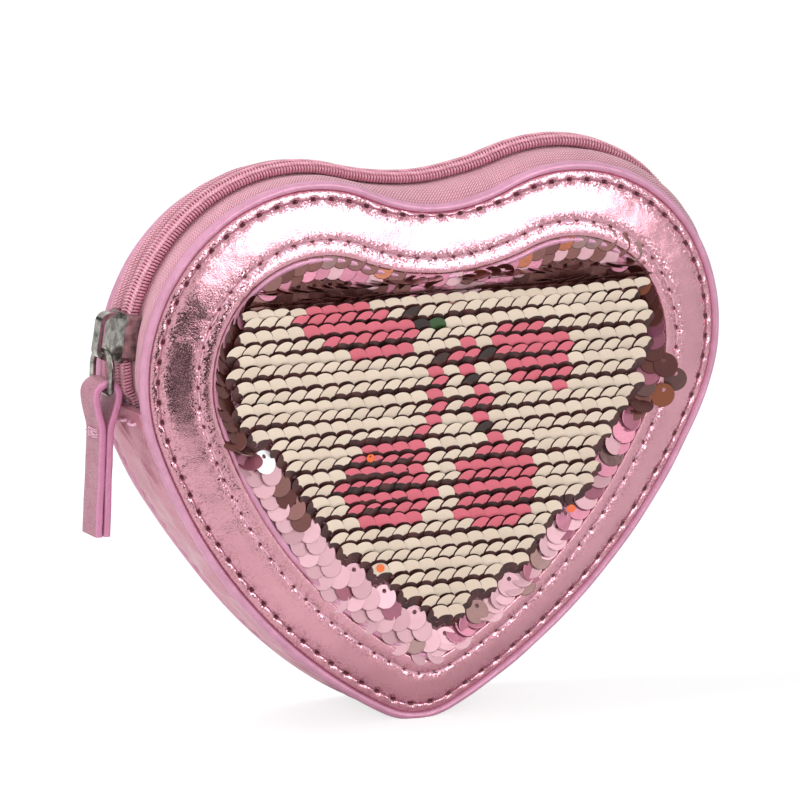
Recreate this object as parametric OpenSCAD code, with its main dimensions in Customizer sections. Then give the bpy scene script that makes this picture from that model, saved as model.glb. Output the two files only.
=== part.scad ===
// Heart shaped coin purse with a sequin window, a curved zip and a leather pull.
// The purse stands on its tip: +X right, -Y front, +Z up, origin on the foot at the tip.
// Every piece is drawn lying on its back, outline in XY and front towards +Z, and stood up last.

/* [Outline] */
// Distance of each lobe's centre from the middle
lobe_x = 29.2; // [26:0.1:32]
// Radius of the round lobes
lobe_r = 36.75; // [33:0.05:40]
// Radius of the long sides
side_r = 115.95; // [100:0.05:130]
// How far below level the lobes turn into the sides, degrees
side_turn = 22.75; // [18:0.05:27]
// Radius of the tip
tip_r = 17.4; // [12:0.1:22]
// Radius of the dip between the lobes
dip_r = 45.6; // [35:0.1:60]
// Width of the flat foot at the tip
foot_w = 5; // [3:0.5:8]

/* [Depth] */
// Distance between the front and the back panel
gusset_w = 16.5; // [15.5:0.5:22]
// Distance from the zip's line to the front panel
zip_forward = 10; // [8:0.5:11]
// Thickness of the panels' leather
panel_t = 1.2; // [0.8:0.1:1.6]
// Thickness of the gusset's leather
gusset_t = 1; // [0.8:0.1:1.4]
// Thickness of the lining cloth
lining_t = 0.4; // [0.3:0.1:0.6]
// Thickness of the back panel's wadding
back_pad_t = 1.6; // [1:0.1:3]
// How far the outer seam lies in front of the front panel's edge
seam_rise = 0.8; // [0.4:0.1:1.2]
// How far the window seam lies in front of the front panel's edge
window_rise = 2.8; // [2.4:0.1:3.6]
// How far the window's edge lies in front of its seam
lip_rise = 0.5; // [0.3:0.1:0.8]

/* [Window] */
// Radius of the window's lobes
win_lobe_r = 23.6; // [20:0.1:26]
// How far the window's lobes sit nearer the middle than the outline's
win_in = 0.85; // [0:0.05:2]
// How far the window's lobes sit below the outline's
win_drop = 0.95; // [0:0.05:2]
// Radius of the window's sides
win_side_r = 96.7; // [85:0.1:105]
// How far below level the window's lobes turn into its sides, degrees
win_turn = 20.6; // [16:0.1:25]
// Radius of the window's tip
win_tip_r = 8.4; // [6:0.1:12]
// Radius of the window's dip
win_dip_r = 51.2; // [40:0.1:60]

/* [Edges and seams] */
// Radius of the bead around each panel
bead_r = 0.85; // [0.6:0.05:1.1]
// Radius of the bead around the window
win_bead_r = 0.8; // [0.6:0.05:1]
// Distance of the outer seam from the panel's edge
seam_in = 3; // [2.5:0.1:4]
// Distance of the window seam from the window's edge
win_seam_in = 3; // [2.5:0.1:4]
// Distance from one stitch to the next
stitch_pitch = 4.15; // [3:0.05:5]
// Length of a stitch that shows
stitch_l = 3.2; // [2:0.1:4]
// Radius of the sewing thread
thread_r = 0.3; // [0.2:0.05:0.4]
// Distance of the gusset's end stitches from its folded ends
end_seam_in = 3; // [2:0.5:5]

/* [Zip] */
// How far the zip's round over each lobe sits nearer the middle
zip_in = 1.1; // [0.5:0.1:1.5]
// How far the zip's round over each lobe sits higher
zip_up = 1.6; // [1:0.1:2.2]
// How much larger the zip's round is than the lobe
zip_grow = 0.1; // [0:0.1:0.6]
// Radius of the zip's dip
zip_dip_r = 68; // [55:1:85]
// How far below level the zip ends on the left, degrees
zip_left_turn = 12; // [8:0.5:16]
// How far round its side the zip ends on the right, degrees
zip_right_turn = 38.5; // [32:0.5:44]
// Radius of each coil
coil_r = 1.3; // [1:0.05:1.5]
// Gap between the two coils
coil_gap = 0.7; // [0.6:0.1:1]
// Thickness of the tape
tape_t = 0.5; // [0.4:0.05:0.7]
// How far the tape bellies outward
tape_crown = 1.2; // [0:0.1:1.6]

/* [Slider and pull] */
// How far above level the slider stands, degrees
slider_rise = 6.7; // [4:0.1:20]
// Length of the slider along the chain
slider_l = 10; // [9:0.1:12]
// Thickness of the slider's plates
plate_t = 1; // [0.8:0.1:1.2]
// Thickness of the slider's side walls
wall_t = 0.75; // [0.6:0.05:1]
// Running clearance between the slider and the chain
zip_clear = 0.25; // [0.2:0.05:0.4]
// Height of the bridge over the plate
bridge_h = 4.1; // [3.8:0.1:5]
// Width of the bridge
bridge_w = 2.4; // [2:0.1:3]
// Thickness of the bridge's metal
bridge_t = 0.95; // [0.8:0.05:1.1]
// Radius of the ring's wire
wire_r = 0.65; // [0.5:0.05:0.75]
// Height of the ring between wire centres
ring_h = 8.3; // [7:0.1:10]
// Half the ring's width between wire centres
ring_half_w = 3.9; // [3.6:0.1:4.4]
// Radius of the ring's lower corners
ring_corner_r = 1; // [0.8:0.1:1.2]
// Width of the pull's strap
strap_w = 5.6; // [4.5:0.1:5.7]
// Thickness of the pull's strap
strap_t = 1.2; // [0.9:0.1:1.4]
// Length of the pull below the ring's wire
strap_l = 28; // [20:1:40]

/* [Sequins] */
// Diameter of a sequin
sequin_d = 5; // [4.6:0.1:5.2]
// Thickness of a sequin
sequin_t = 0.12; // [0.08:0.01:0.14]
// Diameter of a sequin's hole
hole_d = 0.9; // [0.7:0.1:1.1]
// Distance of the hole's centre from the sequin's edge
hole_in = 1.35; // [1.2:0.05:1.5]
// Distance from one sequin to the next in a row
sequin_pitch = 3.6; // [3.4:0.05:3.8]
// Distance from one row to the next
row_pitch = 2.5; // [2.4:0.05:2.8]
// Lean of the sequins that face up, degrees from the mesh
sequin_lean = 14; // [12:1:16]
// Lean of each sequin over its neighbour, degrees
shingle = 4.1; // [3.6:0.1:4.6]
// Thickness of the mesh cloth
mesh_t = 0.4; // [0.3:0.05:0.5]

/* [Hidden] */
$fn = 48;
overrun = 1;
touch = 0.02;
arc_steps = 12;
zip_steps = 18;
bead_sides = 12;
back_w = gusset_w - zip_forward;

// Outlines: [lobe x, lobe y, lobe r, side r, turn, tip r, dip r]
function body_y(lx, lr, sr, turn, tr) =
    tr + sqrt(pow(sr - tr, 2) - pow(lx - (sr - lr) * cos(turn), 2)) - (sr - lr) * sin(turn);
gusset_out = 0.25;
foot_drop = tip_r + gusset_out - sqrt(pow(tip_r + gusset_out, 2) - pow(foot_w / 2, 2));
lobe_y = body_y(lobe_x, lobe_r, side_r, side_turn, tip_r) + gusset_out - foot_drop;
EDGE = [lobe_x, lobe_y, lobe_r, side_r, side_turn, tip_r, dip_r];
WINDOW = [lobe_x - win_in, lobe_y - win_drop, win_lobe_r, win_side_r, win_turn, win_tip_r, win_dip_r];
ZIP = [lobe_x - zip_in, lobe_y + zip_up, lobe_r + zip_grow, side_r + zip_grow, side_turn, tip_r, zip_dip_r];

function side_c(h) = [h[0] - (h[3] - h[2]) * cos(h[4]), h[1] + (h[3] - h[2]) * sin(h[4])];
function tip_c(h) = [0, side_c(h)[1] - sqrt(pow(h[3] - h[5], 2) - pow(side_c(h)[0], 2))];
function dip_c(h) = [0, h[1] + sqrt(pow(h[2] + h[6], 2) - pow(h[0], 2))];
function dip_turn(h) = atan2(dip_c(h)[1] - h[1], -h[0]);
function tip_turn(h) = atan2(tip_c(h)[1] - side_c(h)[1], -side_c(h)[0]);
function flip(c) = [-c[0], c[1]];

// The six arcs of an outline grown by u, each [centre, radius, first angle, last angle]
function right_lobe(h, u) = [[h[0], h[1]], h[2] + u, -h[4], dip_turn(h)];
function dip(h, u) = [dip_c(h), h[6] - u, 180 + dip_turn(h), 360 - dip_turn(h)];
function left_lobe(h, u) = [[-h[0], h[1]], h[2] + u, 180 - dip_turn(h), 180 + h[4]];
function left_side(h, u) = [flip(side_c(h)), h[3] + u, 180 + h[4], 180 - tip_turn(h)];
function tip(h, u) = [tip_c(h), h[5] + u, 180 - tip_turn(h), 360 + tip_turn(h)];
function right_side(h, u) = [side_c(h), h[3] + u, 360 + tip_turn(h), 360 - h[4]];
function round_trip(h, u) =
    [right_lobe(h, u), dip(h, u), left_lobe(h, u), left_side(h, u), tip(h, u), right_side(h, u)];
// The same run cut short at the zip's two ends
function zip_run(h, u) = [
    [side_c(h), h[3] + u, 360 - zip_right_turn, 360 - h[4]],
    right_lobe(h, u), dip(h, u),
    [[-h[0], h[1]], h[2] + u, 180 - dip_turn(h), 180 + zip_left_turn]];
function gusset_run(h, u) = [
    [[-h[0], h[1]], h[2] + u, 180 + zip_left_turn, 180 + h[4]],
    left_side(h, u), tip(h, u),
    [side_c(h), h[3] + u, 360 + tip_turn(h), 360 - zip_right_turn]];

function on_arc(s, a) = s[0] + s[1] * [cos(a), sin(a)];
function arc_points(s, n) = [for (i = [0:n - 1]) on_arc(s, s[2] + (s[3] - s[2]) * i / n)];
function path(arcs, n) = [for (s = arcs) each arc_points(s, n)];
function open_path(arcs, n) = concat(path(arcs, n), [on_arc(arcs[len(arcs) - 1], arcs[len(arcs) - 1][3])]);
function outline(h, u) = path(round_trip(h, u), arc_steps);
function raised(points, z) = [for (p = points) [p[0], p[1], z]];
function arc_length(s) = abs(s[3] - s[2]) * PI / 180 * s[1];

// Is a point inside an outline grown by u?
function inside(h, u, x, y) =
    y < h[1] - h[2] * sin(h[4])
        ? norm([abs(x), y] - side_c(h)) < h[3] + u
            && (y > tip_c(h)[1] + h[5] * sin(tip_turn(h)) || norm([x, y] - tip_c(h)) < h[5] + u)
        : norm([abs(x) - h[0], y - h[1]]) < h[2] + u
            || (abs(x) < h[0] * h[6] / (h[2] + h[6]) && y < dip_c(h)[1]
                && norm([x, y] - dip_c(h)) > h[6] - u);

// Stands a piece that was drawn on its back up on its tip
module stand() {
    rotate([90, 0, 0]) children();
}

// Skins a band between two faces, each given as as many lines of points, the far face's in reverse
module skin(lines, closed) {
    n = len(lines[0]);
    m = len(lines);
    rounds = closed ? n : n - 1;
    function end_face(j, i) = let (a = j * n + i, b = (j + 1) * n + i, c = (m - 2 - j) * n + i,
        d = (m - 1 - j) * n + i) [[b, a, d], [b, d, c]];
    polyhedron(
        points = [for (line = lines) each line],
        faces = concat(
            [for (j = [0:m - 1], i = [0:rounds - 1]) let (a = j * n + i, b = j * n + (i + 1) % n,
                c = (j + 1) % m * n + (i + 1) % n, d = (j + 1) % m * n + i) each [[a, d, b], [b, d, c]]],
            closed ? [] : [for (j = [0:m / 2 - 2]) each end_face(j, 0)],
            closed ? [] : [for (j = [0:m / 2 - 2], f = end_face(j, n - 1)) [f[2], f[1], f[0]]]));
}

// A flat band between two distances out from an outline, as high as the gusset is wide
module band(from, to) {
    near = open_path(gusset_run(EDGE, from), arc_steps);
    far = open_path(gusset_run(EDGE, to), arc_steps);
    translate([0, 0, -back_w]) linear_extrude(gusset_w)
        polygon(concat(far, [for (i = [len(near) - 1:-1:0]) near[i]]));
}

// A flat heart
module sheet(h, u, z, t) {
    translate([0, 0, z]) linear_extrude(t) polygon(outline(h, u));
}

// Keeps what lies above the foot
module above_foot() {
    difference() {
        children();
        translate([0, -lobe_r, 0]) cube([2 * lobe_r, 2 * lobe_r, 4 * gusset_w], center = true);
    }
}

// Depths of the layers, counted from the zip's line towards the front
edge_z = zip_forward + lining_t;
edge_top = edge_z + panel_t;
seam_top = edge_top + seam_rise;
win_seam_top = edge_top + window_rise;
lip_top = win_seam_top + lip_rise;
mesh_gap = 0.2;
mesh_top = win_seam_top - panel_t - mesh_gap;
bead_c = -0.15;
bead_gap = bead_r + touch;
panel_in = bead_r - bead_c + touch;
back_z = -back_w - lining_t - back_pad_t - panel_t;

// Front panel: a padded frame that rises from its edge to the window
module front_panel() {
    tops = [edge_top, seam_top, win_seam_top, lip_top];
    rails = [outline(EDGE, -panel_in), outline(EDGE, -seam_in), outline(WINDOW, win_seam_in), outline(WINDOW, 0)];
    stand() color([0.87, 0.58, 0.68])
        skin(concat([for (i = [0:3]) raised(rails[i], tops[i])],
            [for (i = [3:-1:0]) raised(rails[i], tops[i] - panel_t)]), true);
}

// The corners of a round section, each [outward, height]
function round_section(r) = [for (j = [0:bead_sides - 1]) let (a = (j + 1 / 2) * 360 / bead_sides)
    r * [cos(a), sin(a)]];

module edge_bead(z) {
    skin([for (c = round_section(bead_r)) raised(outline(EDGE, bead_c + c[0]), z + c[1])], true);
}

module front_binding() {
    stand() color([0.8, 0.55, 0.7]) above_foot() edge_bead(zip_forward + bead_gap);
}

module back_binding() {
    stand() color([0.8, 0.55, 0.7]) above_foot() edge_bead(-back_w - bead_gap);
}

module window_binding() {
    stand() color([0.8, 0.55, 0.7])
        skin([for (c = round_section(win_bead_r))
            raised(outline(WINDOW, -win_bead_r - touch + c[0]), lip_top - win_bead_r + c[1])], true);
}

// A row of stitches lying on a seam; the last argument is the height of the seam
module stitches(h, u, z) {
    for (s = round_trip(h, u)) {
        count = round(arc_length(s) / stitch_pitch);
        step = (s[3] - s[2]) / count;
        for (i = [0:count - 1]) {
            a = s[2] + (i + 1 / 2) * step;
            translate(concat(on_arc(s, a), z)) rotate([90, 0, a])
                cylinder(r = thread_r, h = stitch_l, center = true, $fn = 16);
        }
    }
}

module front_stitching() {
    stand() color([0.75, 0.4, 0.55]) stitches(EDGE, -seam_in, seam_top + thread_r + touch);
}

module window_stitching() {
    stand() color([0.75, 0.4, 0.55]) stitches(WINDOW, win_seam_in, win_seam_top + thread_r + touch);
}

module back_stitching() {
    stand() color([0.75, 0.4, 0.55]) stitches(EDGE, -seam_in, back_z - thread_r - touch);
}

// Wadding: a slab behind the sequins and a wedge under the frame
module front_padding() {
    gap = mesh_gap / 2;
    foot_in = seam_in / 2;
    slab_out = win_seam_in - 1.5 * win_bead_r;
    stand() color([0.95, 0.93, 0.9]) {
        sheet(WINDOW, slab_out, edge_z, mesh_top - mesh_t - edge_z);
        skin([
            raised(outline(EDGE, -seam_in), edge_z),
            raised(outline(EDGE, -seam_in), seam_top - panel_t - gap),
            raised(outline(WINDOW, win_seam_in + foot_in), mesh_top - mesh_t),
            raised(outline(WINDOW, win_seam_in + foot_in), edge_z)], true);
    }
}

module sequin_mesh() {
    stand() color([0.88, 0.55, 0.68]) sheet(WINDOW, win_seam_in, mesh_top - mesh_t, mesh_t);
}

module front_lining() {
    stand() color([0.75, 0.6, 0.66]) sheet(EDGE, -panel_in, zip_forward, lining_t);
}

module back_lining() {
    stand() color([0.75, 0.6, 0.66]) sheet(EDGE, -panel_in, -back_w - lining_t, lining_t);
}

module back_padding() {
    stand() color([0.95, 0.93, 0.9]) sheet(EDGE, -seam_in, -back_w - lining_t - back_pad_t, back_pad_t);
}

module back_panel() {
    stand() color([0.87, 0.58, 0.68]) sheet(EDGE, -panel_in, back_z, panel_t);
}

// Gusset: the leather band round the tip
module lower_gusset() {
    stand() color([0.85, 0.56, 0.66]) above_foot() band(gusset_out - gusset_t, gusset_out);
}

module gusset_lining() {
    out = gusset_out - gusset_t - touch;
    stand() color([0.75, 0.6, 0.66]) band(out - lining_t, out);
}

// Stitches across the gusset's two folded ends
module gusset_end_stitching() {
    run = gusset_run(EDGE, gusset_out + thread_r + touch);
    left = run[0];
    right = run[len(run) - 1];
    count = floor((gusset_w - stitch_pitch) / stitch_pitch);
    stand() color([0.75, 0.4, 0.55])
        for (place = [[left, left[2] + end_seam_in / left[1] * 180 / PI],
            [right, right[3] - end_seam_in / right[1] * 180 / PI]])
            for (i = [-count / 2:count / 2])
                translate(concat(on_arc(place[0], place[1]), zip_forward - gusset_w / 2 + i * stitch_pitch))
                    cylinder(r = thread_r, h = stitch_l, center = true, $fn = 16);
}

// Zip tapes: from under each panel's bead, out over a low belly, to under the coil
coil_proud = 0.6;
tape_top = coil_proud - 2 * coil_r;
coil_out = coil_gap / 2 + 2 * coil_r;
slider_half_w = coil_out + zip_clear + wall_t;
module tape(side) {
    belly = 3;
    start_in = panel_in + tape_t;
    far = side > 0 ? zip_forward : back_w;
    near = slider_half_w + zip_clear;
    function rail(t, lift) = let (
        a = open_path(zip_run(EDGE, -start_in + tape_crown * sin(180 * t) + lift), zip_steps),
        b = open_path(zip_run(ZIP, tape_top + tape_crown * sin(180 * t) + lift), zip_steps),
        z = far + t * (near - far))
        [for (i = [0:len(a) - 1]) concat((1 - t) * a[i] + t * b[i], z)];
    function under_coil(lift) =
        raised(open_path(zip_run(ZIP, tape_top + lift), zip_steps), coil_gap / 2 + touch);
    shares = [for (i = [0:belly]) i / belly];
    mirror([0, 0, side > 0 ? 0 : 1])
        skin(concat([for (t = shares) rail(t, -tape_t)], [under_coil(-tape_t), under_coil(0)],
            [for (i = [belly:-1:0]) rail(shares[i], 0)]), false);
}

module front_zip_tape() {
    stand() color([0.85, 0.56, 0.66]) tape(1);
}

module back_zip_tape() {
    stand() color([0.85, 0.56, 0.66]) tape(-1);
}

// Coils: one round row on each tape
module coil(side) {
    u = tape_top + coil_r + touch;
    z = side * (coil_gap / 2 + coil_r);
    skin([for (c = round_section(coil_r)) raised(open_path(zip_run(ZIP, u + c[0]), zip_steps), z + c[1])], false);
}

module front_zip_coil() {
    stand() color([0.75, 0.37, 0.49]) coil(1);
}

module back_zip_coil() {
    stand() color([0.75, 0.37, 0.49]) coil(-1);
}

// Slider, drawn with +X outward, +Y along the chain towards its closed end
slider_turn = 180 - slider_rise;
zip_c = [-ZIP[0], ZIP[1]];
plate_u = tape_top + 2 * coil_r + zip_clear;
plate_top = plate_u + plate_t;
under_u = tape_top - tape_t - zip_clear;
module at_slider() {
    translate(zip_c) rotate(slider_turn) translate([ZIP[2], 0, 0]) children();
}

// A block that follows the chain's curve, from one distance to another out of the chain's line
module curved_block(from, to, w) {
    span = slider_l / ZIP[2] * 180 / PI;
    translate([-ZIP[2], 0, 0])
        rotate_extrude(angle = 2 * span, start = -span, $fn = 180)
            translate([ZIP[2] + from, -w]) square([to - from, 2 * w]);
}

// A prism along +X over the slider's outline seen from outside
module slider_outline() {
    nose = slider_l / 2;
    corner = wall_t;
    translate([-slider_l, 0, 0]) rotate([90, 0, 90])
        linear_extrude(2 * slider_l)
            polygon([[-nose, corner - slider_half_w], [corner - nose, -slider_half_w],
                [nose - 2 * corner, -slider_half_w], [nose, 2 * corner - slider_half_w],
                [nose, slider_half_w - 2 * corner], [nose - 2 * corner, slider_half_w],
                [corner - nose, slider_half_w], [-nose, slider_half_w - corner]]);
}

post_l = 1.6;
post_gap = 0.12;
post_t = coil_gap - 2 * post_gap;
module slider_body() {
    stand() color([0.75, 0.76, 0.75]) at_slider() intersection() {
        slider_outline();
        union() {
            curved_block(plate_u, plate_top, slider_half_w + overrun);
            curved_block(under_u - plate_t, under_u, slider_half_w + overrun);
            difference() {
                curved_block(tape_top + 2 * zip_clear, plate_u, slider_half_w + overrun);
                curved_block(under_u, plate_u + touch, coil_out + zip_clear);
            }
            translate([under_u - plate_t, slider_l / 2 - post_l, -post_t / 2])
                cube([plate_u - under_u + plate_t + touch, post_l, post_t]);
        }
    }
}

// Bridge: a strap of metal arched along the slider
bridge_in = 0.2;
bridge_half_l = slider_l / 2 - bridge_in;
module bridge_profile(inset, base) {
    r = bridge_h / 2 - inset / 2;
    reach = bridge_half_l - inset;
    for (y = [r - reach, reach - r])
        translate([bridge_h - inset - r, y]) circle(r);
    translate([0, r - reach]) square([bridge_h - inset, 2 * (reach - r)]);
    translate([base, -reach]) square([bridge_h - inset - r - base, 2 * reach]);
}

module slider_bridge() {
    stand() color([0.8, 0.81, 0.8]) at_slider() difference() {
        translate([plate_top, 0, -bridge_w / 2]) linear_extrude(bridge_w) difference() {
            bridge_profile(0, -plate_t);
            bridge_profile(bridge_t, -plate_t - overrun);
        }
        curved_block(under_u, plate_top + touch, bridge_w);
    }
}

// Ring: a wire loop that hangs in the bridge's lower end
swing_clear = 0.17;
wire_sag = ring_half_w - sqrt(pow(ring_half_w, 2) - pow(bridge_w / 2, 2));
ring_u = plate_top + bridge_h - bridge_t - wire_r - wire_sag - swing_clear;
ring_s = bridge_half_l - bridge_t - wire_r - wire_sag - 2 * swing_clear;
ring_top = zip_c + (ZIP[2] + ring_u) * [cos(slider_turn), sin(slider_turn)]
    + ring_s * [-sin(slider_turn), cos(slider_turn)];
ring_bottom = ring_top - [0, ring_h];

module pull_ring() {
    foot = ring_half_w - ring_corner_r;
    stand() color([0.78, 0.78, 0.76]) translate(ring_top) rotate([90, 0, 90]) {
        translate([-ring_half_w, 0, 0]) rotate_extrude(angle = 180, start = -90, $fn = 96)
            translate([ring_half_w, 0]) circle(wire_r, $fn = 24);
        for (side = [-1, 1]) {
            translate([ring_corner_r - ring_h, side * ring_half_w, 0]) rotate([0, 90, 0])
                cylinder(r = wire_r, h = ring_h - ring_corner_r - ring_half_w, $fn = 24);
            translate([ring_corner_r - ring_h, side * foot, 0])
                rotate_extrude(angle = 90, start = side > 0 ? 90 : 180, $fn = 96)
                    translate([ring_corner_r, 0]) circle(wire_r, $fn = 24);
        }
        translate([-ring_h, 0, 0]) rotate([90, 0, 0])
            cylinder(r = wire_r, h = 2 * foot, center = true, $fn = 24);
    }
}

// Pull: a strap folded through the ring, seen from the front, origin on the wire
loop_r = 1.55;
loop_play = 0.1;
loop_drop = loop_r - wire_r - loop_play;
loop_l = 8;
slit = 0.12;
module pull_shape(grow, end) {
    r = loop_r + grow;
    w = slit / 2 + grow;
    polygon(concat(
        [for (i = [0:2 * arc_steps]) [0, -loop_drop] + r * [cos(90 * i / arc_steps), sin(90 * i / arc_steps)]],
        [[-w, -loop_drop - loop_l], [-w, -end], [w, -end], [w, -loop_drop - loop_l]]));
}

module pull_tab() {
    stand() color([0.8, 0.56, 0.66]) translate(concat(ring_bottom, -strap_w / 2))
        linear_extrude(strap_w) difference() {
            pull_shape(strap_t, strap_l);
            pull_shape(0, strap_l + overrun);
        }
}

// Thread that ties the strap's two layers together below the ring
module pull_tack() {
    tack_l = 3.6;
    tack_h = 0.9;
    stand() color([0.9, 0.55, 0.7])
        for (side = [-1, 1])
            translate(concat(ring_bottom + [side * (slit / 2 + strap_t + thread_r / 2 + touch),
                -loop_drop - loop_l - tack_h], 0))
                cube([thread_r, tack_h, tack_l], center = true);
}

// Sequins: rows of discs, each hung from its hole
pivot_gap = hole_in + sequin_t / 2;
pivot_z = mesh_top + pivot_gap;
first_row_y = tip_c(WINDOW)[1] - win_tip_r + sequin_d;
top_row_y = lobe_y - win_drop + win_lobe_r - win_bead_r;
rows = floor((top_row_y - first_row_y) / row_pitch);
down_rows = 1;
stand_leans = [33, 71, 109, 147];
flip_drop = 8.8;
flip_in = 4.4;
left_in = 8.6;
left_step_y = lobe_y - win_lobe_r * sin(win_turn) * 2;
flip_rows = 1 + floor((dip_c(WINDOW)[1] - win_dip_r - flip_drop - first_row_y) / row_pitch);
stand_rows = flip_rows + len(stand_leans);
function row_y(k) = first_row_y + k * row_pitch;
function row_xs(k) = let (n = ceil(WINDOW[0] * 2 / sequin_pitch))
    [for (j = [-n:n]) (j + (k % 2) / 2) * sequin_pitch];
function flips(k, x) = k >= down_rows && k < flip_rows
    && inside(WINDOW, -flip_in, x, row_y(k))
    && (x > 0 || row_y(k) > left_step_y || inside(WINDOW, -left_in, x, row_y(k)));
function flip_xs(k) = [for (x = row_xs(k)) if (flips(k, x)) x];
top_xs = flip_xs(flip_rows - 1);
// Standing sequins take every other place, so that no two of them cross
function stand_xs(k) = k < flip_rows || k >= stand_rows ? [] :
    let (n = ceil(WINDOW[0] / sequin_pitch)) [for (j = [-n:n]) let (x = (2 * j + k % 2) * sequin_pitch)
        if (x > top_xs[0] && x < top_xs[len(top_xs) - 1] && inside(WINDOW, -flip_in, x, row_y(k))) x];
// Is a place nearer than one sequin's width to a run of others?
function beside(xs, x) = len(xs) > 0 && x > xs[0] - sequin_d && x < xs[len(xs) - 1] + sequin_d;
// Sequins that stay down keep clear of those that flip or stand in their row and the two below
reach_rows = 2;
function stays_down(k, x) = len([for (n = [0:reach_rows])
    if (beside(flip_xs(k - n), x) || (k < stand_rows && beside(stand_xs(k - n), x))) n]) == 0;

module sequin(x, k, lean, roll) {
    translate([x, row_y(k), pivot_z]) rotate([lean, 0, 0]) rotate([0, roll, 0])
        difference() {
            translate([0, sequin_d / 2 - hole_in, 0])
                cylinder(d = sequin_d, h = sequin_t, center = true, $fn = 36);
            cylinder(d = hole_d, h = sequin_t + overrun, center = true, $fn = 16);
        }
}

// Each sequin of a full row lies over its neighbour, one row from the left and the next from the right
function row_roll(k) = k % 2 == 0 ? shingle : -shingle;
module sequin_row(k) {
    stand() color([0.91, 0.85, 0.77])
        for (x = flip_xs(k)) sequin(x, k, sequin_lean, row_roll(k));
}

module standing_sequins() {
    stand() color([0.35, 0.2, 0.22])
        for (i = [0:len(stand_leans) - 1], x = stand_xs(flip_rows + i))
            sequin(x, flip_rows + i, stand_leans[i], 0);
}

// Sequins round the edge, trimmed where the cloth was cut to the window
module border_sequins() {
    trim_u = -2 * win_bead_r - 2 * touch;
    stand() color([0.85, 0.6, 0.7]) intersection() {
        sheet(WINDOW, trim_u, mesh_top, gusset_w);
        for (k = [-1:rows], x = row_xs(k))
            if (inside(WINDOW, trim_u, x, row_y(k)) && stays_down(k, x))
                sequin(x, k, 180 - sequin_lean, row_roll(k));
    }
}

flip_list = [for (k = [down_rows:flip_rows - 1]) k];
function row_name(k) = str("sequin_row_", k < 10 ? "0" : "", k);

front_panel();
front_binding();
window_binding();
front_stitching();
window_stitching();
front_padding();
sequin_mesh();
front_lining();
back_panel();
back_binding();
back_stitching();
back_padding();
back_lining();
lower_gusset();
gusset_lining();
gusset_end_stitching();
front_zip_tape();
back_zip_tape();
front_zip_coil();
back_zip_coil();
slider_body();
slider_bridge();
pull_ring();
pull_tab();
pull_tack();
standing_sequins();
border_sequins();
for (k = flip_list)
    sequin_row(k);
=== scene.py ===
"""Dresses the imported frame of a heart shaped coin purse: leather, beads, zip, pull and sequins.

Every shape is worked out in millimetres as (across, up, forward) and turned into the frame's metres last.
"""
import math
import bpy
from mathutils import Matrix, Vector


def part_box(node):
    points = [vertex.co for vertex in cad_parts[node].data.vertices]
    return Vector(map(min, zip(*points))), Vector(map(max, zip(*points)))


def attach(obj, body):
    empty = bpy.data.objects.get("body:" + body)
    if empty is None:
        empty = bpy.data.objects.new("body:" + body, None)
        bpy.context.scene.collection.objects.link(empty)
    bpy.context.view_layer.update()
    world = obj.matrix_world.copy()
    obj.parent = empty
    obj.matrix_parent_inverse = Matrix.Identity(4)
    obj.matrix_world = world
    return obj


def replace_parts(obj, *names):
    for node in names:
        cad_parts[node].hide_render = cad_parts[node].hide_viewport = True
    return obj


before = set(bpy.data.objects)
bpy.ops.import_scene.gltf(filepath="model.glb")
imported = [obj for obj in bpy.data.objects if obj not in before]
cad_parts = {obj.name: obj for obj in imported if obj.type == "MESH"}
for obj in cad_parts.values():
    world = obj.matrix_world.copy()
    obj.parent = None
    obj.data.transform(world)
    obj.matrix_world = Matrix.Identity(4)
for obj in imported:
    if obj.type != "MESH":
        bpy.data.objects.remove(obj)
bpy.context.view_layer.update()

from types import SimpleNamespace

import bpy
import numpy as np
from mathutils import Matrix, Vector

bl_info = {
    "name": "Heart shaped purse",
    "version": (1, 0, 0),
    "blender": (4, 5, 0),
    "location": "3D View > Sidebar > Purse",
    "description": "Dresses the frame of a heart shaped coin purse in leather, zip and sequins",
    "category": "Object",
}

MM = 0.001
PURSE = "purse"
# Inside the window, where the sheets that are made of rings close
MIDDLE = np.array([0, 60])
UPRIGHT, FORWARD = np.array([0, 1.0, 0]), np.array([0, 0, 1.0])


def linear(red, green, blue):
    """A screen colour from 0 to 255 as Blender's linear colour."""
    def channel(value):
        value /= 255
        return value / 12.92 if value <= 0.04045 else ((value + 0.055) / 1.055) ** 2.4
    return tuple(channel(v) for v in (red, green, blue))


def length(text, default):
    return bpy.props.FloatProperty(name=text, default=default * MM, unit="LENGTH", subtype="DISTANCE", precision=5)


def degrees(text, default):
    return bpy.props.FloatProperty(name=text, default=default)


def tint(text, *screen):
    return bpy.props.FloatVectorProperty(name=text, default=linear(*screen), size=3, min=0, max=1, subtype="COLOR")


# Settings


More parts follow.
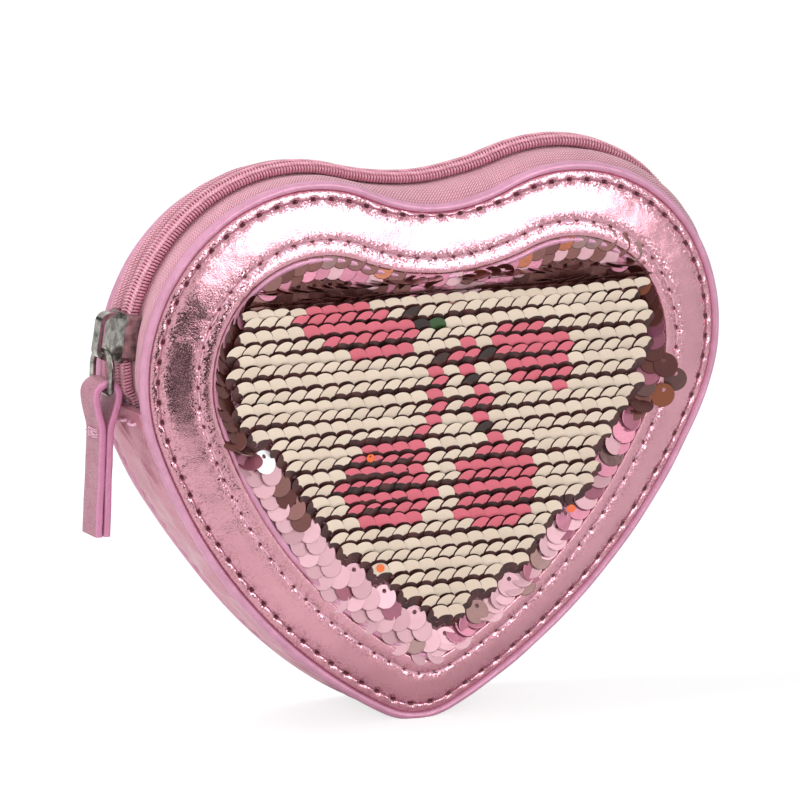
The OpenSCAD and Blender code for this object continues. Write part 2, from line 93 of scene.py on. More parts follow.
class PurseOutline(bpy.types.PropertyGroup):
    """The heart outlines of the edge, the window and the zip."""
    lobe_x: length("Distance of each lobe's centre from the middle", 29.2)
    lobe_y: length("Height of each lobe's centre over the foot", 75.1072)
    lobe_r: length("Radius of the round lobes", 36.75)
    side_r: length("Radius of the long sides", 115.95)
    side_turn: degrees("How far below level the lobes turn into the sides, degrees", 22.75)
    tip_r: length("Radius of the tip", 17.4)
    dip_r: length("Radius of the dip between the lobes", 45.6)
    win_x: length("Distance of the window's lobe centres from the middle", 28.35)
    win_y: length("Height of the window's lobe centres", 74.1572)
    win_lobe_r: length("Radius of the window's lobes", 23.6)
    win_side_r: length("Radius of the window's sides", 96.7)
    win_turn: degrees("How far below level the window's lobes turn into its sides, degrees", 20.6)
    win_tip_r: length("Radius of the window's tip", 8.4)
    win_dip_r: length("Radius of the window's dip", 51.2)
    zip_x: length("Distance of the zip's lobe centres from the middle", 28.1)
    zip_y: length("Height of the zip's lobe centres", 76.7072)
    zip_r: length("Radius of the zip's rounds", 36.85)
    zip_side_r: length("Radius of the zip along the side", 116.05)
    zip_dip_r: length("Radius of the zip's dip", 68)
    zip_left_turn: degrees("How far below level the zip ends on the left, degrees", 12)
    zip_right_turn: degrees("How far round its side the zip ends on the right, degrees", 38.5)


class PurseLayers(bpy.types.PropertyGroup):
    """Depths, seams and thicknesses."""
    front_w: length("How far forward of the zip's line the gusset reaches", 10)
    back_w: length("How far behind the zip's line the gusset reaches", 6.5)
    leather: length("Thickness of the panels' leather", 1.2)
    edge_in: length("How far the panels stop inside the outline", 1.02)
    edge_top: length("How far forward the front panel's edge lies", 11.6)
    seam_in: length("Distance of the seams from their edges", 3)
    seam_top: length("How far forward the outer seam lies", 12.4)
    win_seam_top: length("How far forward the window seam lies", 14.4)
    lip_top: length("How far forward the window's edge lies", 14.9)
    mesh_top: length("How far forward the mesh cloth lies", 13)
    back_z: length("How far back the back panel's face lies", 9.7)
    win_bead_r: length("Radius of the bead around the window", 0.8)
    stitch_pitch: length("Distance from one stitch to the next", 4.15)
    thread_r: length("Radius of the sewing thread", 0.3)
    puff: length("How far the padded frame swells between its seams", 0.25)
    gusset_puff: length("How far the gusset swells between the panels", 0.3)


class PurseZip(bpy.types.PropertyGroup):
    """Zip, slider and pull."""
    tape_top: length("How far out of the zip's line the tape lies under the coils", -2)
    tape_crown: length("How far the tape bellies outward", 1.3)
    coil_pitch: length("Distance from one turn of a coil to the next", 0.68)
    coil_wire: length("Radius of the coils' wire", 0.26)
    strap_w: length("Width of the pull's strap", 6.3)
    strap_t: length("Thickness of the pull's strap", 1.5)
    strap_l: length("Length of the pull below the ring", 29.4)


class PurseSequins(bpy.types.PropertyGroup):
    """Sequins and their rows."""
    disc_r: length("Radius of a sequin", 2.5)
    disc_t: length("Thickness of a sequin", 0.12)
    hole_r: length("Radius of a sequin's hole", 0.45)
    hole_in: length("Distance of the hole's centre from the sequin's edge", 1.35)
    pitch: length("Distance from one sequin to the next", 3.6)
    row_pitch: length("Distance from one row to the next", 2.5)
    first_row: length("Height of the lowest row's holes", 17.7952)
    pivot_z: length("How far forward the holes lie", 14.41)
    lean: degrees("Lean of a raised sequin, degrees", 17)
    shingle: degrees("Lean of each sequin over its neighbour, degrees", 4.1)
    seed: bpy.props.IntProperty(name="Seed of the small differences", default=7)


class PurseColours(bpy.types.PropertyGroup):
    """The colours of the finishes."""
    foil: tint("Foil leather", 216, 160, 172)
    foil_deep: tint("Creases of the foil leather", 122, 66, 80)
    gusset: tint("Leather of the gusset and the back", 206, 144, 160)
    bead: tint("Beads around the panels", 208, 148, 176)
    thread: tint("Thread of the window's seam and the pull", 232, 178, 200)
    thread_deep: tint("Thread of the edge seams", 158, 84, 112)
    # Painted shade of the needle holes, which the leather only dents
    hole: tint("Needle holes", 82, 20, 36)
    tape: tint("Zip tape", 232, 168, 184)
    coil: tint("Zip coils", 220, 150, 168)
    metal: tint("Slider and ring", 196, 192, 184)
    strap: tint("Faces of the pull", 184, 130, 146)
    lacquer: tint("Edges of the pull", 200, 126, 162)
    mesh: tint("Mesh behind the sequins", 214, 152, 170)
    lining: tint("Lining cloth", 188, 150, 164)
    wadding: tint("Wadding", 240, 236, 228)
    cream: tint("Cream faces", 230, 212, 192)
    rose: tint("Rose faces", 222, 106, 124)
    green: tint("Green faces", 26, 86, 46)
    dark: tint("Dark faces", 22, 15, 17)
    blush: tint("Pale metallic reverses", 186, 144, 154)
    grey: tint("Dark metallic reverses", 96, 70, 70)
    copper: tint("Copper reverses", 132, 74, 50)
    brown: tint("Reverses of the cream sequins", 84, 40, 38)
    plum: tint("Deep pink metallic reverses", 156, 92, 114)
    # A sequin painted near white: a painted highlight of the lamp it mirrors
    painted_glare: tint("The one that mirrors the lamp", 252, 248, 250)
    orange: tint("Glints of warm light", 250, 110, 40)
    # Painted shade under the rims of the sequins in front, for cream and for rose sequins
    gap: tint("Shade under the cream sequins' rims", 44, 16, 16)
    gap_rose: tint("Shade under the rose sequins' rims", 24, 6, 10)


def settings(name):
    """A property group as plain numbers, lengths in millimetres."""
    group = getattr(bpy.context.scene, name)
    values = {}
    for key, prop in group.bl_rna.properties.items():
        if prop.type == "FLOAT" and not prop.is_array:
            values[key] = getattr(group, key) * (1 / MM if prop.unit == "LENGTH" else 1)
        elif prop.type == "INT":
            values[key] = getattr(group, key)
    return SimpleNamespace(**values)


def shade(key):
    return (*getattr(bpy.context.scene.purse_colours, key), 1)


# Outlines


class Trace:
    """A run of arcs as points, outward directions and lengths along the run."""

    def __init__(self, arcs, counts, closed):
        points, outward, run, start = [], [], [], 0
        for (centre, radius, first, last, sign), count in zip(arcs, counts):
            share = np.arange(count) / count
            angle = np.radians(first + (last - first) * share)
            spoke = np.stack([np.cos(angle), np.sin(angle)], 1)
            points.append(np.array(centre) + radius * spoke)
            outward.append(sign * spoke)
            size = abs(math.radians(last - first)) * radius
            run.append(start + size * share)
            start += size
        if not closed:
            spoke = np.array([[math.cos(math.radians(last)), math.sin(math.radians(last))]])
            points.append(np.array(centre) + radius * spoke)
            outward.append(sign * spoke)
            run.append([start])
        self.points = np.concatenate(points)
        self.outward = np.concatenate(outward)
        self.run = np.concatenate(run)
        self.total = start
        self.closed = closed

    def grown(self, out):
        """The run moved outward by a distance, or by one for each point."""
        return self.points + np.reshape(out, (-1, 1)) * self.outward


class Heart:
    """A heart made of six arcs that meet smoothly."""

    def __init__(self, x, y, lobe, side, turn, tip, dip):
        self.x, self.y, self.lobe, self.side, self.turn, self.tip, self.dip = x, y, lobe, side, turn, tip, dip
        rad = math.radians(turn)
        self.side_c = np.array([x - (side - lobe) * math.cos(rad), y + (side - lobe) * math.sin(rad)])
        self.tip_c = np.array([0, self.side_c[1] - math.sqrt((side - tip) ** 2 - self.side_c[0] ** 2)])
        self.dip_c = np.array([0, y + math.sqrt((lobe + dip) ** 2 - x ** 2)])
        self.dip_turn = math.degrees(math.atan2(self.dip_c[1] - y, -x))
        self.tip_turn = math.degrees(math.atan2(self.tip_c[1] - self.side_c[1], -self.side_c[0]))

    def right_lobe(self):
        return (self.x, self.y), self.lobe, -self.turn, self.dip_turn, 1

    def low(self):
        return self.dip_c, self.dip, 180 + self.dip_turn, 360 - self.dip_turn, -1

    def left_lobe(self, end=None):
        return (-self.x, self.y), self.lobe, 180 - self.dip_turn, 180 + (self.turn if end is None else end), 1

    def left_side(self):
        return self.side_c * [-1, 1], self.side, 180 + self.turn, 180 - self.tip_turn, 1

    def bottom(self):
        return self.tip_c, self.tip, 180 - self.tip_turn, 360 + self.tip_turn, 1

    def right_side(self, first=None, last=None):
        return (self.side_c, self.side, 360 + self.tip_turn if first is None else first,
                360 - self.turn if last is None else last, 1)

    def round_trip(self):
        return [self.right_lobe(), self.low(), self.left_lobe(), self.left_side(), self.bottom(), self.right_side()]

    def inside(self, x, y, grow=0):
        """Is a point inside the heart grown by a distance?"""
        if y < self.y - self.lobe * math.sin(math.radians(self.turn)):
            if math.hypot(abs(x) - self.side_c[0], y - self.side_c[1]) >= self.side + grow:
                return False
            low = self.tip_c[1] + self.tip * math.sin(math.radians(self.tip_turn))
            return y > low or math.hypot(x, y - self.tip_c[1]) < self.tip + grow
        if math.hypot(abs(x) - self.x, y - self.y) < self.lobe + grow:
            return True
        return (abs(x) < self.x * self.dip / (self.lobe + self.dip) and y < self.dip_c[1]
                and math.hypot(x, y - self.dip_c[1]) > self.dip - grow)


def hearts():
    o = settings("purse_outline")
    return SimpleNamespace(
        edge=Heart(o.lobe_x, o.lobe_y, o.lobe_r, o.side_r, o.side_turn, o.tip_r, o.dip_r),
        window=Heart(o.win_x, o.win_y, o.win_lobe_r, o.win_side_r, o.win_turn, o.win_tip_r, o.win_dip_r),
        zip=Heart(o.zip_x, o.zip_y, o.zip_r, o.zip_side_r, o.side_turn, o.tip_r, o.zip_dip_r),
        left_turn=o.zip_left_turn, right_turn=o.zip_right_turn)


def arc_counts(arcs, step):
    return [max(4, round(abs(math.radians(last - first)) * radius / step)) for _, radius, first, last, _ in arcs]


def round_traces(step):
    """The edge and the window as two runs whose points pair up."""
    h = hearts()
    counts = arc_counts(h.edge.round_trip(), step)
    return Trace(h.edge.round_trip(), counts, True), Trace(h.window.round_trip(), counts, True)


def zip_arcs(h, ends):
    return [h.right_side(360 - ends.right_turn), h.right_lobe(), h.low(), h.left_lobe(ends.left_turn)]


def drawn_in(points):
    """How far the front panel's edge is drawn in at the dip between the lobes."""
    return np.where(points[:, 1] > 80, 1.3 * np.exp(-(points[:, 0] / 15) ** 2), 0)


def gusset_arcs(h, ends):
    first = ((-h.x, h.y), h.lobe, 180 + ends.left_turn, 180 + h.turn, 1)
    return [first, h.left_side(), h.bottom(), h.right_side(None, 360 - ends.right_turn)]


def waves(a, b, size, seed):
    """Soft ripples of about one, as long as size, made of ten waves."""
    count = 10
    rng = np.random.default_rng(seed)
    total = np.zeros(np.broadcast(a, b).shape)
    for _ in range(count):
        turn, stretch, phase = rng.uniform(0, 2 * np.pi), rng.uniform(0.6, 1.5), rng.uniform(0, 2 * np.pi)
        total += np.sin((a * np.cos(turn) + b * np.sin(turn)) * 2 * np.pi / size * stretch + phase)
    return total / math.sqrt(count)


# Meshes


def slumped(points):
    """The back is drawn in along the lower left side, where the gusset is loose."""
    x, y, depth = points.T
    share = np.clip((8 - depth) / 13, 0, 1)
    amount = 1.8 * np.exp(-((y - 31) / 20) ** 2) * np.clip((-x - 4) / 20, 0, 1) * share * share * (3 - 2 * share)
    return points + np.stack([0.78 * amount, 0.5 * amount, 0 * amount], 1)


class Maker:
    """Gathers grids of points into one mesh."""

    def __init__(self):
        self.points, self.faces, self.uvs, self.slots, self.marks, self.size = [], [], [], [], {}, 0

    def grid(self, points, around=False, closed=False, uv=None, slot=0, flip=False, marks=None):
        """Adds a grid (lines, steps, 3). around joins its steps' ends and closed joins its first and last lines."""
        lines, steps, _ = points.shape
        j, i = np.meshgrid(np.arange(lines - (not closed)), np.arange(steps - (not around)), indexing="ij")
        jn, im = (j + 1) % lines, (i + 1) % steps
        quads = np.stack([j * steps + i, j * steps + im, jn * steps + im, jn * steps + i], -1).reshape(-1, 4)
        if uv is None:
            uv = np.zeros((lines + closed, steps + around, 2))
        corners = np.stack([uv[j, i], uv[j, i + 1], uv[j + 1, i + 1], uv[j + 1, i]], 2).reshape(-1, 4, 2)
        if flip:
            quads, corners = quads[:, ::-1], corners[:, ::-1]
        self.add(points.reshape(-1, 3), quads, corners, slot, marks)

    def add(self, points, quads, corners=None, slot=0, marks=None):
        quads = np.asarray(quads)
        self.points.append(points)
        self.faces.append(quads + self.size)
        self.uvs.append(np.zeros((*quads.shape, 2)) if corners is None else corners)
        self.slots.append(np.broadcast_to(slot, len(quads)))
        for key in set(self.marks) | set(marks or {}):
            old = self.marks.setdefault(key, np.zeros(self.size))
            self.marks[key] = np.concatenate([old, np.broadcast_to((marks or {}).get(key, 0.0), (len(points),))])
        self.size += len(points)

    def cap(self, loop, slot=0, flip=False):
        """Fills a loop of points with a fan of triangles around its middle."""
        n = len(loop)
        middle = loop.mean(0)
        points = np.concatenate([loop, [middle]])
        i = np.arange(n)
        tris = np.stack([i, (i + 1) % n, np.full(n, n), np.full(n, n)], 1)
        self.add(points, tris[:, ::-1] if flip else tris, None, slot)

    def done(self, name, finishes, slot, body=PURSE, smooth=True):
        """Turns what was gathered into an object that rides on a body."""
        points = np.concatenate(self.points)
        if body == PURSE:
            points = slumped(points)
        points = np.stack([points[:, 0], -points[:, 2], points[:, 1]], 1) * MM
        quads = np.concatenate(self.faces)
        faces = [tuple(dict.fromkeys(q)) for q in quads.tolist()]
        mesh = bpy.data.meshes.new(name)
        mesh.from_pydata(points.tolist(), [], faces)
        layer = mesh.uv_layers.new(name="run")
        keep = [n for q, f in zip(range(len(quads)), faces) for n in [4 * q + k for k in range(len(f))]]
        layer.data.foreach_set("uv", np.concatenate(self.uvs).reshape(-1, 2)[keep].ravel().astype(np.float32))
        for key, values in self.marks.items():
            attribute = mesh.attributes.new(key, "FLOAT", "POINT")
            attribute.data.foreach_set("value", values.astype(np.float32))
        for finish in finishes:
            mesh.materials.append(finish)
        mesh.polygons.foreach_set("material_index", np.concatenate(self.slots).astype(np.int32))
        if smooth:
            mesh.polygons.foreach_set("use_smooth", np.ones(len(faces), bool))
        mesh.update()
        obj = bpy.data.objects.new(name, mesh)
        bpy.context.collection.objects.link(obj)
        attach(obj, body)
        return obj


def at(xy, depth):
    """Points across and up, set at a distance forward."""
    xy = np.asarray(xy)
    return np.concatenate([xy, np.broadcast_to(np.reshape(depth, (-1, 1)), (len(xy), 1))], 1)


def tube(path, radius, sides, hint):
    """A round rope along a path, as lines of points. hint is never along the path."""
    ahead = np.gradient(path, axis=0)
    ahead /= np.linalg.norm(ahead, axis=1, keepdims=True)
    side = np.cross(ahead, np.broadcast_to(hint, path.shape))
    side /= np.linalg.norm(side, axis=1, keepdims=True)
    up = np.cross(side, ahead)
    angle = np.arange(sides) * 2 * np.pi / sides
    radius = np.broadcast_to(radius, (len(path),))
    return np.stack([path + radius[:, None] * (math.cos(a) * side + math.sin(a) * up) for a in angle])


def run_uv(trace, across):
    """Texture places for a grid along a run: millimetres along and across."""
    along = np.append(trace.run, trace.total) if trace.closed else trace.run
    return np.stack(np.meshgrid(along, across), -1)


def tube_uv(along, sides, pitch):
    """Texture places for a tube of a number of sides, pitch millimetres wide each."""
    return np.stack(np.meshgrid(along, np.arange(sides + 1) * pitch), -1)


# Finishes


def node(tree, kind, values=None, **options):
    made = tree.nodes.new(kind)
    for key, value in options.items():
        setattr(made, key, value)
    for key, value in (values or {}).items():
        if isinstance(value, bpy.types.NodeSocket):
            tree.links.new(value, made.inputs[key])
        else:
            made.inputs[key].default_value = value
    return made


def math_node(tree, kind, a, b=0.0):
    return node(tree, "ShaderNodeMath", {0: a, 1: b}, operation=kind).outputs[0]


def vector_math(tree, kind, a, b):
    return node(tree, "ShaderNodeVectorMath", {0: a, 1: b}, operation=kind).outputs[0]


def noise(tree, place, scale, detail):
    return node(tree, "ShaderNodeTexNoise", {"Vector": place, "Scale": scale, "Detail": detail})


def wire(tree, target, **values):
    """Links values to inputs, whose names are given with _ for a space."""
    for key, value in values.items():
        tree.links.new(value, target.inputs[key.replace("_", " ")])


def blend(tree, share, a, b):
    """A colour between two colours."""
    return node(tree, "ShaderNodeMix", {0: share, 6: a, 7: b}, data_type="RGBA").outputs[2]


def remap(tree, value, low, high, to_low=0.0, to_high=1.0):
    return node(tree, "ShaderNodeMapRange", {
        "Value": value, "From Min": low, "From Max": high, "To Min": to_low, "To Max": to_high,
    }, interpolation_type="SMOOTHSTEP").outputs[0]


def group(name, inputs, outputs):
    """A shader node group with named inputs (name, default) and outputs (name, kind)."""
    tree = bpy.data.node_groups.new(name, "ShaderNodeTree")
    for key, default in inputs:
        socket = tree.interface.new_socket(key, in_out="INPUT", socket_type="NodeSocketFloat")
        socket.default_value = default
    for key, kind in outputs:
        tree.interface.new_socket(key, in_out="OUTPUT", socket_type="NodeSocket" + kind)
    return tree, tree.nodes.new("NodeGroupInput"), tree.nodes.new("NodeGroupOutput")


def millimetres(tree, size):
    """The place on the piece, in steps of size millimetres."""
    place = node(tree, "ShaderNodeTexCoord").outputs["Object"]
    share = math_node(tree, "DIVIDE", 1 / MM, size)
    return node(tree, "ShaderNodeVectorMath", {0: place, "Scale": share}, operation="SCALE").outputs[0]


def make_grain():
    """Pebble grain: a height and the creases between the pebbles."""
    tree, given, out = group("pebble grain", [("Size", 1.0)], [("Height", "Float"), ("Crease", "Float")])
    place = millimetres(tree, given.outputs["Size"])
    moved = vector_math(tree, "SUBTRACT", noise(tree, place, 0.7, 2.0).outputs["Color"], (0.5, 0.5, 0.5))
    bent = node(tree, "ShaderNodeVectorMath", {0: moved, 1: (0.9, 0.9, 0.9), 2: place},
                operation="MULTIPLY_ADD").outputs[0]
    near = node(tree, "ShaderNodeTexVoronoi", {"Vector": bent, "Scale": 1.0}, feature="DISTANCE_TO_EDGE")
    crease = remap(tree, near.outputs["Distance"], 0.0, 0.22, 1.0, 0.0)
    fine = noise(tree, place, 3.2, 3.0).outputs["Fac"]
    dome = remap(tree, near.outputs["Distance"], 0.0, 0.45)
    height = math_node(tree, "ADD", math_node(tree, "MULTIPLY", dome, 0.8), math_node(tree, "MULTIPLY", fine, 0.35))
    wire(tree, out, Height=height, Crease=crease)
    return tree


def make_cover():
    """Where painted shade falls from the sequins in front of this one: the two below it and the one beside it, in
    millimetres from its hole.
    """
    tree, given, out = group("cover shade", [("Below", 0.0), ("Beside", 0.0)], [("Shade", "Float")])
    place = node(tree, "ShaderNodeUVMap", uv_map="run").outputs[0]

    def rim(centre):
        gap = node(tree, "ShaderNodeVectorMath", {0: place, 1: (*centre, 0.0)}, operation="DISTANCE").outputs["Value"]
        return math_node(tree, "SUBTRACT", gap, 2.5)
    up = node(tree, "ShaderNodeSeparateXYZ", {0: place}).outputs[1]
    below = given.outputs["Below"]
    width = math_node(tree, "MULTIPLY", below, remap(tree, up, 0.35, 1.1, 0.25, 1.0))
    near = math_node(tree, "SUBTRACT", math_node(tree, "MINIMUM", rim((1.8, -1.35)), rim((-1.8, -1.35))), width)
    under = math_node(tree, "MULTIPLY", remap(tree, near, -0.05, 0.05, 1.0, 0.0),
                      math_node(tree, "GREATER_THAN", below, 0.01))
    side = math_node(tree, "SUBTRACT", rim((3.6, 1.15)), given.outputs["Beside"])
    behind = math_node(tree, "MULTIPLY", remap(tree, side, -0.05, 0.04, 1.0, 0.0),
                       math_node(tree, "GREATER_THAN", given.outputs["Beside"], 0.01))
    wire(tree, out, Shade=math_node(tree, "MAXIMUM", under, behind))
    return tree


def make_glint():
    """Fine foil grain: tiny soft facets under a slow crumple."""
    tree, given, out = group("foil grain", [("Size", 0.4)], [("Height", "Float")])
    place = millimetres(tree, given.outputs["Size"])
    fine = noise(tree, place, 1.0, 2.5).outputs["Fac"]
    slow = noise(tree, place, 0.11, 2.0).outputs["Fac"]
    wire(tree, out, Height=math_node(tree, "ADD", fine, math_node(tree, "MULTIPLY", slow, 1.3)))
    return tree


def make_mottle():
    """Cloudy differences of tone."""
    tree, given, out = group("mottle", [("Size", 6.0)], [("Tone", "Float")])
    cloud = node(tree, "ShaderNodeTexNoise", {
        "Vector": millimetres(tree, given.outputs["Size"]), "Scale": 1.0, "Detail": 5.0, "Roughness": 0.6})
    wire(tree, out, Tone=remap(tree, cloud.outputs["Fac"], 0.28, 0.72))
    return tree


def make_crush():
    """Crushed foil: small facets that catch the light."""
    tree, given, out = group("crushed foil", [("Size", 0.5), ("Strength", 0.5)],
                             [("Normal", "Vector"), ("Facet", "Float")])
    cell = node(tree, "ShaderNodeTexVoronoi", {"Vector": millimetres(tree, given.outputs["Size"]), "Scale": 1.0})
    tip = vector_math(tree, "SUBTRACT", cell.outputs["Color"], (0.5, 0.5, 0.5))
    push = node(tree, "ShaderNodeVectorMath", {0: tip, "Scale": given.outputs["Strength"]}, operation="SCALE")
    face = node(tree, "ShaderNodeNewGeometry").outputs["Normal"]
    total = vector_math(tree, "ADD", face, push.outputs[0])
    unit = node(tree, "ShaderNodeVectorMath", {0: total}, operation="NORMALIZE")
    facet = node(tree, "ShaderNodeSeparateColor", {0: cell.outputs["Color"]})
    wire(tree, out, Normal=unit.outputs[0], Facet=facet.outputs[0])
    return tree


def make_weave():
    """Twill: short threads in slanting rows."""
    tree, given, out = group("twill weave", [("Thread", 0.45), ("Slant", 0.7)],
                             [("Height", "Float"), ("Gap", "Float")])
    place = node(tree, "ShaderNodeUVMap", uv_map="run").outputs[0]
    share = math_node(tree, "DIVIDE", 1.0, given.outputs["Thread"])
    scaled = node(tree, "ShaderNodeVectorMath", {0: place, "Scale": share}, operation="SCALE").outputs[0]
    turned = node(tree, "ShaderNodeVectorRotate", {"Vector": scaled, "Angle": given.outputs["Slant"]},
                  rotation_type="Z_AXIS").outputs[0]
    brick = node(tree, "ShaderNodeTexBrick", {
        "Vector": turned, "Scale": 1.0, "Mortar Size": 0.22, "Mortar Smooth": 1.0, "Brick Width": 1.7,
        "Row Height": 0.9, "Bias": 0.0}, offset=0.5)
    fluff = noise(tree, scaled, 2.5, 3.0).outputs["Fac"]
    gap = brick.outputs["Fac"]
    height = math_node(tree, "ADD", math_node(tree, "SUBTRACT", 1.0, gap), math_node(tree, "MULTIPLY", fluff, 0.4))
    wire(tree, out, Height=height, Gap=gap)
    return tree


def make_net():
    """Net cloth: a lattice of small holes."""
    tree, given, out = group("net", [("Cell", 0.9)], [("Height", "Float"), ("Hole", "Float")])
    place = millimetres(tree, given.outputs["Cell"])
    turned = node(tree, "ShaderNodeVectorRotate", {"Vector": place, "Angle": math.radians(45)},
                  rotation_type="Y_AXIS").outputs[0]
    flat = vector_math(tree, "MULTIPLY", turned, (1.0, 0.0, 1.0))
    cell = node(tree, "ShaderNodeTexVoronoi", {"Vector": flat, "Scale": 1.0, "Randomness": 0.12})
    gap = cell.outputs["Distance"]
    wire(tree, out, Hole=remap(tree, gap, 0.18, 0.4, 1.0, 0.0), Height=remap(tree, gap, 0.1, 0.5))
    return tree


def make_twist():
    """Spun thread: slanting plies along the run."""
    tree, given, out = group("spun thread", [("Ply", 0.35)], [("Height", "Float")])
    place = node(tree, "ShaderNodeUVMap", uv_map="run").outputs[0]
    wave = node(tree, "ShaderNodeTexWave", {
        "Vector": place, "Scale": math_node(tree, "DIVIDE", 0.314, given.outputs["Ply"]), "Distortion": 0.6,
        "Detail": 1.0}, wave_type="BANDS", bands_direction="DIAGONAL")
    wire(tree, out, Height=wave.outputs["Fac"])
    return tree


GROUPS = {}


def effect(tree, name, **values):
    """Places one of the shared effects."""
    makers = {"grain": make_grain, "mottle": make_mottle, "crush": make_crush, "weave": make_weave,
              "net": make_net, "twist": make_twist, "cover": make_cover, "glint": make_glint}
    if name not in GROUPS:
        GROUPS[name] = makers[name]()
    made = tree.nodes.new("ShaderNodeGroup")
    made.node_tree = GROUPS[name]
    for key, value in values.items():
        made.inputs[key].default_value = value
    return made


def finish(name, **plain):
    """A material with a Principled shader and its plain values."""
    name += " finish"
    if name in bpy.data.materials:
        return bpy.data.materials[name], None, None
    material = bpy.data.materials.new(name)
    material.use_nodes = True
    tree = material.node_tree
    shader = tree.nodes["Principled BSDF"]
    for key, value in plain.items():
        shader.inputs[key.replace("_", " ").title().replace("Ior", "IOR")].default_value = value
    return material, tree, shader


def bump(tree, height, depth):
    return node(tree, "ShaderNodeBump", {"Height": height, "Distance": depth * MM, "Strength": 1.0}).outputs[0]


def mark(tree, key):
    return node(tree, "ShaderNodeAttribute", attribute_name=key).outputs["Fac"]


def pierced(tree, shader, base, metallic):
    """Darkens a base colour at the needle holes as painted shade in them; the holes are not metallic either."""
    hole = mark(tree, "hole")
    wire(tree, shader, Metallic=remap(tree, hole, 0.3, 0.6, metallic, 0.0))
    return blend(tree, remap(tree, hole, 0.35, 0.6), base, shade("hole"))


def foil_leather():
    material, tree, shader = finish("foil leather")
    if tree is None:
        return material
    glint = effect(tree, "glint", Size=0.22)
    tone = effect(tree, "mottle", Size=9.0)
    crush = effect(tree, "crush", Size=0.3, Strength=0.9)
    seam = mark(tree, "seam")
    base = blend(tree, math_node(tree, "MULTIPLY", tone.outputs["Tone"], 0.14), shade("foil"), shade("foil_deep"))
    # Some crushed facets near the seams are darkened: painted dark reflections
    painted_facet_reflection = math_node(tree, "MULTIPLY", remap(tree, crush.outputs["Facet"], 0.45, 0.8), seam)
    base = blend(tree, math_node(tree, "MULTIPLY", painted_facet_reflection, 0.5), base, shade("foil_deep"))
    base = pierced(tree, shader, base, 0.94)
    rough = math_node(tree, "ADD", remap(tree, tone.outputs["Tone"], 0, 1, 0.15, 0.2),
                      math_node(tree, "MULTIPLY", mark(tree, "hole"), 0.4))
    rough = math_node(tree, "SUBTRACT", rough, math_node(tree, "MULTIPLY", seam, 0.06))
    fine = bump(tree, glint.outputs["Height"], 0.052)
    mixed = node(tree, "ShaderNodeMix", {0: math_node(tree, "MULTIPLY", seam, 0.62), 4: fine,
                                         5: crush.outputs["Normal"]}, data_type="VECTOR").outputs[1]
    wire(tree, shader, Base_Color=base, Roughness=rough, Normal=mixed)
    return material


# For each plain finish: its colour and the deeper one, its effects with their values, what draws it toward the
# deeper colour (effect, output, share), its roughness (effect, output, from, to), its relief (effect, output,
# millimetres) and the shader's plain values
SURFACES = {
    "satin leather": ("gusset", "foil_deep", (("grain", 0.7), ("mottle", 8)),
                      ((0, "Crease", 0.14), (1, "Tone", 0.08)), (1, "Tone", 0.3, 0.4), (0, "Height", 0.03), {}),
    "bead": ("bead", "foil_deep", (("grain", 0.5), ("mottle", 4)), ((1, "Tone", 0.25),),
             (0, "Height", 0.34, 0.46), (0, "Height", 0.03),
             {"metallic": 0.2, "coat_weight": 0.15, "coat_roughness": 0.3}),
    # The tape's weave gaps are drawn toward the deeper colour: painted shade between the threads
    "zip tape": ("tape", "foil_deep", (("weave", 0.5, 0.75), ("mottle", 3)),
                 ((0, "Gap", 0.6), (1, "Tone", 0.1)), (0, "Gap", 0.5, 0.8), (0, "Height", 0.12),
                 {"sheen_weight": 0.25, "sheen_roughness": 0.4}),
    "coil": ("coil", "foil_deep", (("mottle", 1.2),), ((0, "Tone", 0.3),), (0, "Tone", 0.25, 0.38), None,
             {"coat_weight": 0.3, "coat_roughness": 0.15}),
    # The nickel's large mottle draws its colour toward the dark one: painted dark reflections
    "nickel": ("metal", "dark", (("mottle", 1.8), ("mottle", 0.25)), ((0, "Tone", 0.75),),
               (0, "Tone", 0.14, 0.26), (1, "Tone", 0.006), {"metallic": 1.0}),
    "pull leather": ("strap", "foil_deep", (("grain", 0.7), ("mottle", 3)),
                     ((0, "Crease", 0.3), (1, "Tone", 0.15)), (1, "Tone", 0.4, 0.55), (0, "Height", 0.08),
                     {"metallic": 0.2, "coat_weight": 0.1, "coat_roughness": 0.3}),
    "edge lacquer": ("lacquer", "foil_deep", (("mottle", 1.5),), ((0, "Tone", 0.2),), (0, "Tone", 0.22, 0.34),
                     (0, "Tone", 0.05), {"coat_weight": 0.6, "coat_roughness": 0.08}),
    # The net's holes take the deeper colour: painted shade seen through them
    "mesh cloth": ("mesh", "foil_deep", (("net", 0.95),), ((0, "Hole", 1.0),), (0, "Hole", 0.5, 0.85),
                   (0, "Height", 0.15), {"sheen_weight": 0.2}),
    # The lining's weave gaps are drawn toward the deeper colour: painted shade between the threads
    "lining": ("lining", "foil_deep", (("weave", 0.6, 0), ("mottle", 8)), ((0, "Gap", 0.35), (1, "Tone", 0.1)),
               (0, "Gap", 0.6, 0.85), (0, "Height", 0.05), {"sheen_weight": 0.15}),
    "wadding": ("wadding", "lining", (("mottle", 1.2),), ((0, "Tone", 0.12),), (0, "Tone", 0.8, 0.95),
                (0, "Tone", 0.3), {"sheen_weight": 0.4}),
}
for colour in ("thread", "thread_deep", "tape"):
    SURFACES[f"{colour} thread"] = (colour, "foil_deep", (("twist", 0.3),), ((0, "Height", 0.3),),
                                    (0, "Height", 0.55, 0.7), (0, "Height", 0.06), {"sheen_weight": 0.3})


